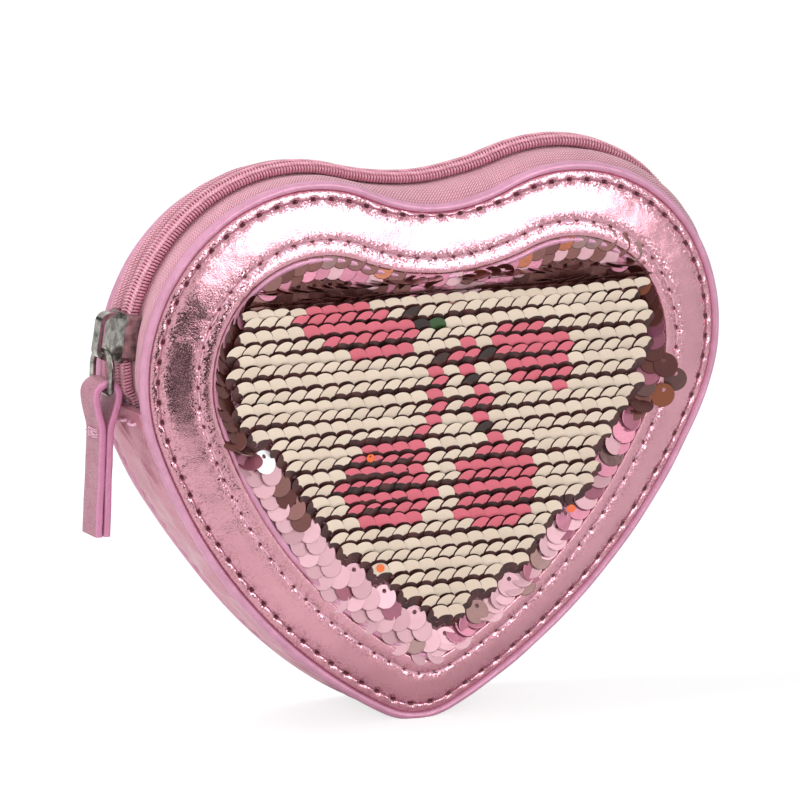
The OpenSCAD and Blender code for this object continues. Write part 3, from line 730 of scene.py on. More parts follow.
def surface(name):
    """One of the plain finishes."""
    key, deep, effects, darker, rough, relief, plain = SURFACES[name]
    material, tree, shader = finish(name, **plain)
    if tree is None:
        return material
    made = []
    for kind, *values in effects:
        made.append(effect(tree, kind))
        for socket, value in zip(made[-1].inputs, values):
            socket.default_value = value
    shares = [math_node(tree, "MULTIPLY", made[i].outputs[output], amount) for i, output, amount in darker]
    share = math_node(tree, "ADD", *shares) if len(shares) > 1 else shares[0]
    base = blend(tree, share, shade(key), shade(deep))
    if name == "satin leather":
        base = pierced(tree, shader, base, 0.62)
    wire(tree, shader, Base_Color=base, Roughness=remap(tree, made[rough[0]].outputs[rough[1]], 0, 1, *rough[2:]))
    if relief:
        wire(tree, shader, Normal=bump(tree, made[relief[0]].outputs[relief[1]], relief[2]))
    return material


# For each kind of sequin face: its reverse, and how metallic, coated, rough under the coat and rough it is
SEQUINS = {
    "cream": ("brown", 0.0, 0.1, 0.3, 0.5),
    "rose": ("dark", 0.15, 0.15, 0.2, 0.4),
    "green": ("dark", 0.4, 0.3, 0.15, 0.3),
    "dark": ("grey", 0.1, 0.1, 0.12, 0.25),
    "blush": ("cream", 0.35, 0.15, 0.15, 0.36),
    "grey": ("cream", 0.55, 0.2, 0.1, 0.2),
    "copper": ("cream", 0.7, 0.2, 0.1, 0.25),
    "brown": ("cream", 0.5, 0.2, 0.12, 0.26),
    "plum": ("cream", 0.5, 0.2, 0.12, 0.24),
    # A painted highlight: near white, as if mirroring the lamp
    "painted_glare": ("cream", 0.0, 0.6, 0.05, 0.2),
    "orange": ("copper", 0.2, 0.5, 0.05, 0.2),
}
KINDS = list(SEQUINS)
REVERSE = {kind: values[0] for kind, values in SEQUINS.items()}


def sequin_finish(kind):
    _, metallic, coat, coat_rough, rough = SEQUINS[kind]
    material, tree, shader = finish(
        kind + " sequin", metallic=metallic, coat_weight=coat, coat_roughness=coat_rough)
    if tree is None:
        return material
    tone = mark(tree, "tone")
    cloud = effect(tree, "mottle", Size=2.2)
    cover = effect(tree, "cover")
    wire(tree, cover, Below=mark(tree, "below"), Beside=mark(tree, "beside"))
    share = math_node(tree, "ADD", math_node(tree, "MULTIPLY", tone, 0.12),
                      math_node(tree, "MULTIPLY", cloud.outputs["Tone"], 0.03))
    base = blend(tree, share, shade(kind), shade("copper"))
    # Painted shade under the rims of the sequins in front, darker under rose ones
    gap = blend(tree, cloud.outputs["Tone"], shade("gap_rose" if kind == "rose" else "gap"), shade("brown"))
    wire(tree, shader, Base_Color=blend(tree, cover.outputs["Shade"], base, gap),
         Roughness=remap(tree, tone, 0, 1, rough - 0.04, rough + 0.06),
         Normal=bump(tree, cloud.outputs["Tone"], 0.015))
    return material


# Pieces


def grown_arcs(heart, grow):
    return [(c, r + s * grow, a, b, s) for c, r, a, b, s in heart.round_trip()]


def seam_holes(heart, grow, pitch, slot):
    """Three places in each needle hole of a seam; slot is half the hole's length along the seam."""
    places = []
    for centre, r, first, last, _ in grown_arcs(heart, grow):
        count = round(abs(math.radians(last - first)) * r / pitch)
        for shift in (-slot, 0, slot):
            angle = np.radians(np.linspace(first, last, count + 1)[:-1]) + shift / r
            places.append(np.array(centre) + r * np.stack([np.cos(angle), np.sin(angle)], 1))
    return np.concatenate(places)


def hole_mask(points, holes, radius):
    """One at a hole, falling to nothing at its radius."""
    result = np.zeros(len(points))
    portion = 4000
    for start in range(0, len(points), portion):
        part = points[start:start + portion]
        gap = np.sqrt(((part[:, None, :] - holes[None]) ** 2).sum(2)).min(1)
        result[start:start + portion] = np.exp(-(gap / radius) ** 2 * 1.6)
    return result


# Half a stitch's length, and how far up and how thick its thread is from one hole to the other
STITCH_HALF = 1.75
STITCH_LIFT = np.array([-0.5, -0.12, 0.02, 0.1, 0.12, 0.1, 0.02, -0.12, -0.5])
STITCH_SHARE = np.array([0.55, 0.85, 0.95, 1, 1, 1, 0.95, 0.85, 0.55])


def stitch_row(maker, heart, grow, depth, layers, face=1, share=1.0):
    """Adds a row of sewn stitches that dip into their holes."""
    thick = layers.thread_r * share * STITCH_SHARE
    for centre, r, first, last, _ in grown_arcs(heart, grow):
        count = round(abs(math.radians(last - first)) * r / layers.stitch_pitch)
        step = (last - first) / count
        reach = STITCH_HALF / (abs(math.radians(step)) * r)
        t = np.linspace(-reach, reach, 9)
        for i in range(count):
            angle = np.radians(first + (i + 0.5 + t) * step)
            spoke = np.stack([np.cos(angle), np.sin(angle)], 1)
            path = at(np.array(centre) + r * spoke, depth + face * STITCH_LIFT)
            line = np.linalg.norm(np.diff(path, axis=0), axis=1).cumsum()
            maker.grid(tube(path, thick, 7, FORWARD), closed=True, uv=tube_uv(np.append(0, line), 7, 0.25))


def frame_lines():
    """The front panel's section, from the outer bead to the window's."""
    s = settings("purse_layers")
    h = hearts()
    edge, window = round_traces(0.45)
    lines, seam = [], []
    near = edge.grown(-s.edge_in - drawn_in(edge.points))
    seam_xy = edge.grown(-s.seam_in)
    win_seam = window.grown(s.seam_in)
    lip = window.grown(0.0)

    def add(a, b, t, depth, to_seam):
        xy = a * (1 - t) + b * t
        lines.append(at(xy, depth))
        seam.append(np.full(len(xy), to_seam))

    # The strip between the outer bead and its seam
    for t in (0.0, 0.12, 0.28, 0.45, 0.62, 0.78, 0.9):
        depth = s.edge_top + (s.seam_top - s.edge_top) * t + 0.3 * math.sin(math.pi * t) ** 0.8 - 0.5 * (t == 0)
        add(near, seam_xy, t, depth, (1 - t) * (s.seam_in - s.edge_in))
    # The padded band
    steps = 34
    width = np.linalg.norm(win_seam - seam_xy, axis=1)
    for k in range(steps + 1):
        t = k / steps
        t = 0.5 - 0.5 * math.cos(math.pi * t) * (0.55 + 0.45 * abs(math.cos(math.pi * t)))
        xy = seam_xy * (1 - t) + win_seam * t
        from_seam = np.minimum(t, 1 - t) * width
        swell = (1 - abs(2 * t - 1) ** 2.6) * s.puff + 0.34 * (1 - np.exp(-from_seam / 0.7))
        crumple = waves(xy[:, 0], xy[:, 1], 11, 11) * 0.07 + waves(xy[:, 0], xy[:, 1], 4, 12) * 0.018
        depth = s.seam_top - 0.12 + (s.win_seam_top - s.seam_top) * t + swell + crumple * min(1, 4 * t, 4 * (1 - t))
        lines.append(at(xy, depth))
        seam.append(from_seam)
    # The strip between the window's seam and its bead
    for t in (0.12, 0.26, 0.42, 0.58, 0.74, 0.88, 1.0):
        depth = s.win_seam_top - 0.1 + (s.lip_top + 0.1 - s.win_seam_top) * t + 0.3 * math.sin(math.pi * t) ** 0.8
        add(win_seam, lip, t, depth, t * s.seam_in)
    face = np.stack(lines)
    # Holes and the pull of the stitches: dents, and a mark for the painted shade in the holes
    outer = seam_holes(h.edge, -s.seam_in, s.stitch_pitch, 0.3)
    inner = seam_holes(h.window, s.seam_in, s.stitch_pitch, 0.15)
    flat = face.reshape(-1, 3)
    flat[:, 2] -= 0.5 * hole_mask(flat[:, :2], outer, 0.8) + 0.3 * hole_mask(flat[:, :2], inner, 0.6)
    hole = np.maximum(hole_mask(flat[:, :2], outer, 0.62), hole_mask(flat[:, :2], inner, 0.42))
    seam_mm = np.stack(seam).ravel()
    crush = np.exp(-(seam_mm / 1.9) ** 2) * (0.75 + 0.25 * waves(flat[:, 0], flat[:, 1], 3, 13))
    back = [at(lip, s.lip_top - s.leather), at(win_seam, s.win_seam_top - s.leather),
            at(seam_xy, s.seam_top - s.leather), at(near, s.edge_top - s.leather)]
    plain = np.zeros(len(back) * len(near))
    lines = np.concatenate([flat.reshape(face.shape), np.stack(back)])
    return edge, lines, np.append(np.clip(crush, 0, 1), plain), np.append(hole, plain)


class PURSE_OT_front_panel(bpy.types.Operator):
    """Makes the padded front frame with its two seams."""
    bl_idname = "purse.front_panel"
    bl_label = "Front panel"

    def execute(self, context):
        s = settings("purse_layers")
        edge, lines, crush, hole = frame_lines()
        maker = Maker()
        across = np.linspace(0, 20, len(lines) + 1)
        maker.grid(lines, around=True, closed=True, uv=run_uv(edge, across), flip=True,
                   marks={"seam": crush, "hole": hole})
        panel = maker.done("front_leather", [foil_leather()], slot="foil_leather")
        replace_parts(panel, "front_panel")
        h = hearts()
        for name, stands_for, heart, grow, depth, share, key in (
                ("front_stitches", "front_stitching", h.edge, -s.seam_in, s.seam_top - 0.28, 0.85, "thread_deep"),
                ("window_stitches", "window_stitching", h.window, s.seam_in, s.win_seam_top - 0.14, 0.7, "thread")):
            maker = Maker()
            stitch_row(maker, heart, grow, depth, s, share=share)
            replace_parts(maker.done(name, [surface(f"{key} thread")], slot="thread"), stands_for)
        return {"FINISHED"}


class PURSE_OT_beads(bpy.types.Operator):
    """Makes the beads around both panels and around the window."""
    bl_idname = "purse.beads"
    bl_label = "Beads"

    def execute(self, context):
        s = settings("purse_layers")
        edge, window = round_traces(0.8)
        # For each bead: its run, how far out and forward it lies, and half its width and its depth
        for name, node_name, trace, out, depth, radius in (
                ("front_bead", "front_binding", edge, -0.35, s.front_w + 1.05, (0.88, 1.25)),
                ("back_bead", "back_binding", edge, -0.35, -s.back_w - 1.0, (0.85, 1.1)),
                ("window_bead", "window_binding", window, -s.win_bead_r - 0.02, s.lip_top - s.win_bead_r,
                 (s.win_bead_r, s.win_bead_r))):
            wobble = 1 + 0.03 * waves(trace.points[:, 0], trace.points[:, 1], 12, 21)
            if name == "front_bead":
                pull = drawn_in(trace.points)
            else:
                pull = 0.7 * np.clip((trace.points[:, 1] - 70) / 12, 0, 1) if name == "back_bead" else 0
            lines = []
            for a in np.arange(18) * 2 * np.pi / 18:
                xy = trace.grown(out - pull + radius[0] * wobble * math.cos(a))
                xy[:, 1] = np.maximum(xy[:, 1], 0)
                lines.append(at(xy, depth + radius[1] * wobble * math.sin(a)))
            maker = Maker()
            maker.grid(np.stack(lines), around=True, closed=True,
                       uv=run_uv(trace, np.arange(19) * 2 * np.pi * radius[0] / 18))
            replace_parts(maker.done(name, [surface("bead")], slot="piping"), node_name)
        return {"FINISHED"}


def rings(rim, shares, depth, curl=0, power=1):
    """Rings from a rim in to the middle, bent back toward the rim by curl."""
    return [at(MIDDLE + (rim - MIDDLE) * t, depth - curl * t ** power) for t in shares]


def add_slab(maker, rim, shares, depth, curl, power):
    """Adds one side of a slab of wadding."""
    lines = rings(rim, shares, depth, curl, power)
    maker.grid(np.stack(lines), around=True, flip=curl > 0)
    maker.cap(lines[-1], flip=curl > 0)


class PURSE_OT_back_panel(bpy.types.Operator):
    """Makes the plain back with its seam."""
    bl_idname = "purse.back_panel"
    bl_label = "Back panel"

    def execute(self, context):
        s = settings("purse_layers")
        edge, _ = round_traces(0.6)
        h = hearts()
        lines = []
        near, seam_xy = edge.grown(-s.edge_in), edge.grown(-s.seam_in)
        for t in (0.0, 0.15, 0.35, 0.6, 0.85):
            xy = near * (1 - t) + seam_xy * t
            lines.append(at(xy, -(s.back_z - 0.55 + 0.55 * t ** 0.5 + 0.25 * math.sin(math.pi * t) - 0.4 * (t == 0))))
        for t in np.concatenate([np.linspace(1, 0.8, 16), np.linspace(0.8, 0.04, 40)[1:]]):
            xy = MIDDLE + (seam_xy - MIDDLE) * t
            swell = 1.0 * (1 - t ** 9) + 0.5 * (1 - t * t)
            crumple = waves(xy[:, 0], xy[:, 1], 26, 31) * 0.22 + waves(xy[:, 0], xy[:, 1], 9, 32) * 0.05
            lines.append(at(xy, -(s.back_z - 0.05 + swell + crumple * (1 - t ** 6))))
        face = np.stack(lines)
        holes = seam_holes(h.edge, -s.seam_in, s.stitch_pitch, 0.2)
        flat = face.reshape(-1, 3)
        flat[:, 2] += 0.35 * hole_mask(flat[:, :2], holes, 0.8)
        # Where shade is painted into the needle holes
        hole = hole_mask(flat[:, :2], holes, 0.5)
        maker = Maker()
        maker.grid(flat.reshape(face.shape), around=True, uv=run_uv(edge, np.linspace(0, 60, len(face))),
                   marks={"hole": hole})
        maker.cap(face[-1])
        inner = rings(near, (1, 0.5, 0.04), -(s.back_z - s.leather))
        maker.grid(np.stack([at(near, -(s.back_z - 0.95)), *inner]), around=True, flip=True)
        maker.cap(inner[-1], flip=True)
        panel = maker.done("back_leather", [surface("satin leather")], slot="foil_leather")
        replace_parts(panel, "back_panel")
        maker = Maker()
        stitch_row(maker, h.edge, -s.seam_in, -(s.back_z - 0.02), s, face=-1)
        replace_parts(maker.done("back_stitches", [surface("thread thread")], slot="thread"), "back_stitching")
        return {"FINISHED"}


class PURSE_OT_wadding(bpy.types.Operator):
    """Makes the wadding of the front and the back."""
    bl_idname = "purse.wadding"
    bl_label = "Wadding"

    def execute(self, context):
        s = settings("purse_layers")
        edge, window = round_traces(2.5)
        foot, back_foot = s.front_w + 0.4, -s.back_w - 0.4
        maker = Maker()
        outer, inner = edge.grown(-s.seam_in), window.grown(s.seam_in + 1.5)
        lines = [at(outer, foot + 0.05), at(outer, s.seam_top - s.leather - 0.15)]
        for t in np.linspace(0, 1, 9)[1:-1]:
            top = (s.seam_top - s.leather - 0.15) * (1 - t) + (s.mesh_top - 0.5) * t
            lines.append(at(outer * (1 - t) + inner * t, top + 0.5 * math.sin(math.pi * t)))
        lines += [at(inner, s.mesh_top - 0.5), at(inner, foot + 0.05)]
        maker.grid(np.stack(lines), around=True, closed=True, flip=True)
        for depth, curl in ((s.mesh_top - 0.5, 0.35), (foot + 0.05, -0.35)):
            add_slab(maker, window.grown(1.8), (1, 0.96, 0.85, 0.6, 0.3, 0.03), depth, curl, 8)
        pad = maker.done("front_wadding", [surface("wadding")], slot="wadding")
        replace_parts(pad, "front_padding")
        maker = Maker()
        for depth, curl in ((back_foot - 0.05, 0.6), (back_foot - 1.55, -0.6)):
            add_slab(maker, edge.grown(-s.seam_in), (1, 0.97, 0.9, 0.7, 0.4, 0.03), depth, curl, 10)
        pad = maker.done("back_wadding", [surface("wadding")], slot="wadding")
        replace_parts(pad, "back_padding")
        return {"FINISHED"}


class PURSE_OT_cloths(bpy.types.Operator):
    """Makes the mesh behind the sequins and the linings."""
    bl_idname = "purse.cloths"
    bl_label = "Mesh and linings"

    def execute(self, context):
        s = settings("purse_layers")
        edge, window = round_traces(1.2)
        h = hearts()
        shares = np.concatenate([[1, 0.985, 0.97], np.linspace(0.94, 0.03, 26)])
        lining = surface("lining")

        def cloth(name, node_name, trace, out, depth, ripple, finish_, slot, flip):
            lines = rings(trace.grown(out), shares, depth)
            for line in lines:
                line[:, 2] += ripple * waves(line[:, 0], line[:, 1], 18, 41)
            maker = Maker()
            maker.grid(np.stack(lines), around=True, flip=flip)
            maker.cap(lines[-1], flip=flip)
            made = maker.done(name, [finish_], slot=slot)
            # The texture lies flat across the cloth
            co = np.zeros(len(made.data.vertices) * 3)
            made.data.vertices.foreach_get("co", co)
            index = np.zeros(len(made.data.loops), int)
            made.data.loops.foreach_get("vertex_index", index)
            co = co.reshape(-1, 3)[index] / MM
            made.data.uv_layers["run"].data.foreach_set("uv", co[:, [0, 2]].ravel().astype(np.float32))
            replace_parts(made, node_name)

        cloth("mesh_cloth", "sequin_mesh", window, s.seam_in, s.mesh_top - 0.05, 0.03, surface("mesh cloth"),
              "mesh_cloth", True)
        cloth("front_lining_cloth", "front_lining", edge, -s.edge_in, s.front_w + 0.2, 0.05, lining, "lining", False)
        cloth("back_lining_cloth", "back_lining", edge, -s.edge_in, -s.back_w - 0.2, 0.05, lining, "lining", True)
        arcs = gusset_arcs(h.edge, h)
        trace = Trace(arcs, arc_counts(arcs, 1.5), False)
        width = s.front_w + s.back_w
        across = np.linspace(-s.back_w, s.front_w, 9)
        lines = []
        for w in across:
            t = 2 * (w + s.back_w) / width - 1
            xy = trace.grown(-0.97 - 0.12 * (1 - t * t))
            xy[:, 1] = np.maximum(xy[:, 1], 0.3)
            lines.append(at(xy, w))
        lines = np.stack(lines)
        maker = Maker()
        maker.grid(lines, uv=run_uv(trace, across))
        made = maker.done("gusset_lining_cloth", [lining], slot="lining")
        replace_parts(made, "gusset_lining")
        return {"FINISHED"}


class PURSE_OT_gusset(bpy.types.Operator):
    """Makes the leather band around the tip."""
    bl_idname = "purse.gusset"
    bl_label = "Gusset"

    def execute(self, context):
        s = settings("purse_layers")
        h = hearts()
        arcs = gusset_arcs(h.edge, h)
        trace = Trace(arcs, arc_counts(arcs, 0.7), False)
        across = np.linspace(-s.back_w, s.front_w, 29)
        flap = 0.9 * np.exp(-((trace.total - trace.run) / 2.2) ** 2)
        from_tip = np.abs(trace.points[:, 0])
        calm = np.clip((from_tip - 7) / 16, 0, 1)
        ends = np.clip(np.minimum(trace.run, trace.total - trace.run) / 8, 0, 1)
        lines = []
        for w in across:
            t = 2 * (w + s.back_w) / (s.front_w + s.back_w) - 1
            swell = s.gusset_puff * (1 - abs(t) ** 2.4) * calm * (0.6 + 0.4 * ends)
            folds = (0.42 * waves(trace.run, w * 1.6, 17, 51) + 0.1 * waves(trace.run, w, 6, 52)) * (1 - t * t)
            pucker = 0.13 * np.cos(trace.run * 2 * np.pi / s.stitch_pitch) * math.exp(-((1 - abs(t)) * 6) ** 2)
            # A soft fold runs down from the left end
            line = w + 0.5 - (trace.run - 5) * 0.5
            length_share = np.clip((19 - trace.run) / 6, 0, 1) * np.clip(trace.run / 3, 0, 1)
            crease = (0.35 * np.exp(-(line - 1.6) ** 2) - 0.6 * np.exp(-line ** 2)) * length_share * (1 - t ** 6)
            xy = trace.grown(0.25 + crease + swell + folds * (0.3 + 0.7 * calm) * ends + pucker * calm + flap)
            xy[:, 1] = np.maximum(xy[:, 1], 0)
            lines.append(at(xy, w))
        for w in across[::-1][::4]:
            xy = trace.grown(-0.75)
            xy[:, 1] = np.maximum(xy[:, 1], 0.1)
            lines.append(at(xy, w * 0.995))
        lines = np.stack(lines)
        maker = Maker()
        maker.grid(lines, closed=True, uv=run_uv(trace, np.arange(len(lines) + 1) * 0.6))
        maker.cap(lines[:, 0])
        maker.cap(lines[:, -1], flip=True)
        made = maker.done("gusset_leather", [surface("satin leather")], slot="foil_leather")
        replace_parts(made, "lower_gusset")
        # Stitches across the two folded ends
        maker = Maker()
        for index, toward in ((0, 1), (-1, -1)):
            near = int(np.argmin(abs(trace.run - (3 if index == 0 else trace.total - 3))))
            out = trace.outward[near]
            for i in range(-1, 2):
                w = (s.front_w - s.back_w) / 2 + i * s.stitch_pitch
                path = np.array([[*(trace.points[near] + out * lift), w + d] for d, lift in
                                 ((-1.2, 0.1), (-0.95, 0.75), (-0.4, 1.05), (0.4, 1.05), (0.95, 0.75), (1.2, 0.1))])
                path[:, :2] += out * (s.gusset_puff * 0.45 * (1 - abs(i / 2) ** 2.4) + (flap[near] if index else 0))
                hint = np.array([*(trace.points[near + toward] - trace.points[near]), 0])
                maker.grid(tube(path, s.thread_r, 7, hint), closed=True,
                           uv=tube_uv(np.linspace(0, 2.6, 6), 7, 0.25))
        made = maker.done("gusset_end_stitches", [surface("thread thread")], slot="thread")
        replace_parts(made, "gusset_end_stitching")
        return {"FINISHED"}


class PURSE_OT_zip(bpy.types.Operator):
    """Makes the zip's tapes and coils."""
    bl_idname = "purse.zip"
    bl_label = "Zip"

    def execute(self, context):
        s, z = settings("purse_layers"), settings("purse_zip")
        h = hearts()
        counts = arc_counts(zip_arcs(h.edge, h), 0.7)
        # The tapes go on under the gusset's two ends
        tucked = SimpleNamespace(left_turn=h.left_turn + 7, right_turn=h.right_turn + 1.5)
        low = Trace(zip_arcs(h.edge, tucked), counts, False)
        high = Trace(zip_arcs(h.zip, tucked), counts, False)

        def bulge(trace):
            """How far the zip stands out around the right lobe."""
            place = trace.points - [h.edge.x, h.edge.y]
            turn = np.degrees(np.arctan2(place[:, 1], place[:, 0]))
            return 2.7 * np.exp(-((turn - 54) / 50) ** 2) * np.clip(trace.points[:, 0] / 8, 0, 1)

        def sink(trace):
            """How far the zip dives under the gusset's left end."""
            return 1.5 * np.clip((trace.run - trace.total + 5.5) / 2, 0, 1)

        def winding(steps):
            """The zip's run with a number of steps for each turn of the coil."""
            return Trace(zip_arcs(h.zip, tucked), [round(c * 0.7 / z.coil_pitch) * steps for c in counts], False)
        coil_in, coil_out = 0.37, 3.3
        # The front tape stands out most around the right lobe
        place = low.points - [h.edge.x, h.edge.y]
        turn = np.degrees(np.arctan2(place[:, 1], place[:, 0]))
        full = np.where(low.points[:, 0] > 0, 1.9 * np.exp(-((turn - 26) / 36) ** 2), 0)
        for side, word in ((1, "front"), (-1, "back")):
            lines = []
            far = s.front_w if side > 0 else s.back_w
            for t in np.linspace(0, 1, 15):
                rise = math.sin(math.pi * t) ** 0.8
                crown = (z.tape_crown + (full if side > 0 else 1.1)) * rise * np.clip((low.total - low.run) / 8, 0, 1)
                a = low.grown(-s.edge_in - 0.5 + crown - (drawn_in(low.points) if side > 0 else 0))
                b = high.grown(z.tape_top + crown + bulge(high))
                ripple = 0.08 * waves(low.run, 8.0 * t, 11, 61) * math.sin(math.pi * t)
                xy = a * (1 - t) + b * t + ripple[:, None] * low.outward
                lines.append(at(xy, side * (far - t * (far - coil_out))))
            for w in (2.2, 1.4, 0.8, coil_in):
                lines.append(at(high.grown(z.tape_top + bulge(high)), side * w))
            lines = np.stack(lines)
            across = np.append(0, np.linalg.norm(np.diff(lines, axis=0), axis=2).mean(1).cumsum())
            maker = Maker()
            maker.grid(lines, uv=run_uv(low, across), flip=side < 0)
            made = maker.done(f"{word}_tape", [surface("zip tape")], slot="zip_tape")
            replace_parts(made, f"{word}_zip_tape")
            # The coil: one wire wound along the tape's edge, its heads between the other coil's
            wound = winding(12)
            phase = wound.run / z.coil_pitch * 2 * np.pi + (0 if side > 0 else np.pi)
            reach, middle = 1.05, 0.85
            across_c = middle + reach * np.sign(np.cos(phase)) * np.abs(np.cos(phase)) ** 0.85
            out_c = z.tape_top + 1.2 + 0.8 * np.sign(np.sin(phase)) * np.abs(np.sin(phase)) ** 0.8
            path = at(wound.grown(bulge(wound) - sink(wound) + out_c), side * across_c)
            along = np.concatenate([np.stack([-wound.outward[:, 1], wound.outward[:, 0]], 1),
                                    np.zeros((len(path), 1))], 1)
            maker = Maker()
            maker.grid(tube(path, z.coil_wire, 7, along), closed=True,
                       uv=run_uv(wound, np.arange(8) * 0.25))
            # The thread that sews the coil down
            sewn = winding(8)
            phase = sewn.run / z.coil_pitch * 2 * np.pi
            path = at(sewn.grown(bulge(sewn) - sink(sewn) + z.tape_top + 2.2 + 0.14 * np.cos(phase)),
                      side * (1.25 + 0.5 * np.sin(phase)))
            maker.grid(tube(path, 0.25, 5, FORWARD), closed=True, slot=1,
                       uv=run_uv(sewn, np.arange(6) * 0.2))
            made = maker.done(f"{word}_coil", [surface("coil"), surface("tape thread")], slot="zip_coil")
            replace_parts(made, f"{word}_zip_coil")
        return {"FINISHED"}


class PURSE_OT_slider(bpy.types.Operator):
    """Finishes the slider, its bridge and the ring."""
    bl_idname = "purse.slider"
    bl_label = "Slider and ring"

    def execute(self, context):
        metal = surface("nickel")
        for name, width in (("slider_body", 0.4), ("slider_bridge", 0.5), ("pull_ring", 0.0)):
            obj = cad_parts[name]
            obj.data.materials.clear()
            obj.data.materials.append(metal)
            for polygon in obj.data.polygons:
                polygon.use_smooth = True
            if width:
                bevel = obj.modifiers.new("bevel", "BEVEL")
                bevel.width = width * MM
                bevel.segments = 3
                bevel.limit_method = "ANGLE"
                bevel.angle_limit = math.radians(35)
                weighted = obj.modifiers.new("weighted", "WEIGHTED_NORMAL")
                weighted.keep_sharp = True
        return {"FINISHED"}


class PURSE_OT_pull(bpy.types.Operator):
    """Makes the folded leather pull and the thread that ties it."""
    bl_idname = "purse.pull"
    bl_label = "Pull"

    def execute(self, context):
        z = settings("purse_zip")
        low, high = (np.array(c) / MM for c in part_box("pull_ring"))
        origin = np.array([(low[0] + high[0]) / 2, low[2] + 0.65])
        drop, loop = 0.8, 2.5
        half = z.strap_t / 2
        angle = np.radians(np.linspace(0, 180, 25))
        arch = np.stack([loop * np.cos(angle), loop * np.sin(angle) - drop], 1)
        leg = []
        for t in np.linspace(0, 1, 13)[1:]:
            pinch = t * t * (3 - 2 * t)
            leg.append([loop + (0.82 - loop) * pinch, -drop - 8 * t])
        for t in np.linspace(0, 1, 15)[1:]:
            leg.append([0.82 + 0.1 * t * t, -drop - 8 - (z.strap_l - 8.8) * t])
        leg = np.array(leg)
        path = np.concatenate([leg[::-1], arch, leg * [-1, 1]]) + origin
        ahead = np.gradient(path, axis=0)
        ahead /= np.linalg.norm(ahead, axis=1, keepdims=True)
        side = np.stack([-ahead[:, 1], ahead[:, 0]], 1)
        # The strap's section: flat faces and rounded lacquered edges
        wide = z.strap_w / 2
        section = []
        for sign in (1, -1):
            for w in np.linspace(-1, 1, 9):
                section.append((sign * half * (1 - 0.03 * w * w), sign * -w * (wide - 0.45)))
            for a in (60, 30, 0, -30, -60):
                section.append((sign * half * 1.04 * math.sin(math.radians(a)),
                                sign * -(wide - 0.45 + 0.47 * math.cos(math.radians(a)))))
        crease = 0.04 * waves(path[:, 1], path[:, 0], 6, 71)
        lines = np.stack([at(path + side * (thick + crease)[:, None], w) for thick, w in section])
        # The last six lines of each half belong to an edge
        slots = np.repeat(np.arange(len(section)) % 14 >= 8, len(path) - 1).astype(int)
        maker = Maker()
        run = np.append(0, np.linalg.norm(np.diff(path, axis=0), axis=1).cumsum())
        maker.grid(lines, closed=True, uv=tube_uv(run, len(section), 0.5), slot=slots)
        maker.cap(lines[:, 0], slot=1)
        maker.cap(lines[:, -1], slot=1, flip=True)
        strap = maker.done("pull_strap", [surface("pull leather"), surface("edge lacquer")], body="pull",
                           slot="pull_leather")
        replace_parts(strap, "pull_tab")
        maker = Maker()
        rng = np.random.default_rng(72)
        for sign in (1, -1):
            for i in range(9):
                y = origin[1] - drop - 7.0 - 0.18 * i + rng.uniform(-0.12, 0.12)
                tilt = rng.uniform(-0.35, 0.35)
                w = np.linspace(-2.0, 2.0, 9)
                lift = 1.64 + 0.22 * (1 - (w / 2.0) ** 4) + rng.uniform(-0.02, 0.1) - 0.35 * (abs(w) > 1.9)
                path = np.stack([origin[0] + sign * lift, y + tilt * w / 2, w], 1)
                maker.grid(tube(path, 0.11, 6, UPRIGHT), closed=True, uv=tube_uv(w, 6, 0.1))
        for i in range(5):
            # Loose ends
            far = rng.uniform(0.8, 1.6)
            t = np.linspace(0, 1, 7)
            y = origin[1] - drop - 7.3 - 0.3 * i
            up = y + rng.uniform(-0.8, 0.8) * t * t
            path = np.stack([origin[0] - 1.7 - far * t, up, rng.uniform(-1, 2) + t * 0.4], 1)
            maker.grid(tube(path, 0.1, 6, FORWARD), closed=True, uv=tube_uv(t, 6, 0.1))
        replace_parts(maker.done("pull_thread", [surface("thread thread")], body="pull", slot="thread"), "pull_tack")
        return {"FINISHED"}


# Sequins


def disc_shape(q, sides=30):
    """One sequin, its hole at the origin and its middle above it: points, faces and which face front."""
    turn = np.arange(sides) * 2 * np.pi / sides
    ring = np.stack([np.cos(turn), np.sin(turn)], 1)
    middle = np.array([0, q.disc_r - q.hole_in])
    t = q.disc_t / 2
    hole = ring * q.hole_r
    # Its rounded rim from the front's edge to the back's, between the two edges of the hole
    rows = [at(hole, t * 0.8), at(hole * 1.18, t)]
    for inset, z in ((0.14, t), (0.03, t * 0.7), (0, 0), (0.03, -t * 0.7), (0.14, -t)):
        rows.append(at(middle + ring * (q.disc_r - inset), z))
    rows += [at(hole * 1.18, -t), at(hole, -t * 0.8)]
    points = np.concatenate(rows)
    # The first four strips lie in front of the rim
    n = len(rows)
    j, i = np.meshgrid(np.arange(n), np.arange(sides), indexing="ij")
    jn, im = (j + 1) % n, (i + 1) % sides
    faces = np.stack([jn * sides + i, jn * sides + im, j * sides + im, j * sides + i], -1).reshape(-1, 4)
    front = (j < 4).ravel()
    # Only the front carries the painted shade of its neighbours
    corners = np.where(front[:, None, None], points[faces][:, :, :2], 50.0)
    return points, faces, front, corners


def turned(lean, roll):
    """Turns a sequin: roll about its own height, then lean forward about its hole."""
    a, b = math.radians(lean), math.radians(roll)
    first = np.array([[math.cos(b), 0, math.sin(b)], [0, 1, 0], [-math.sin(b), 0, math.cos(b)]])
    second = np.array([[1, 0, 0], [0, math.cos(a), -math.sin(a)], [0, math.sin(a), math.cos(a)]])
    return second @ first


def add_disc(maker, shape, place, turn, kind, back, tone, side=1, below=0.0, beside=0.0):
    """Adds a sequin, turned about its hole. side says on which side its neighbour covers it."""
    points, faces, front, corners = shape
    slots = np.where(front, KINDS.index(kind), KINDS.index(back))
    maker.add(points @ turn.T + place, faces, corners * [side, 1], slots,
              {"tone": tone, "below": below, "beside": beside})


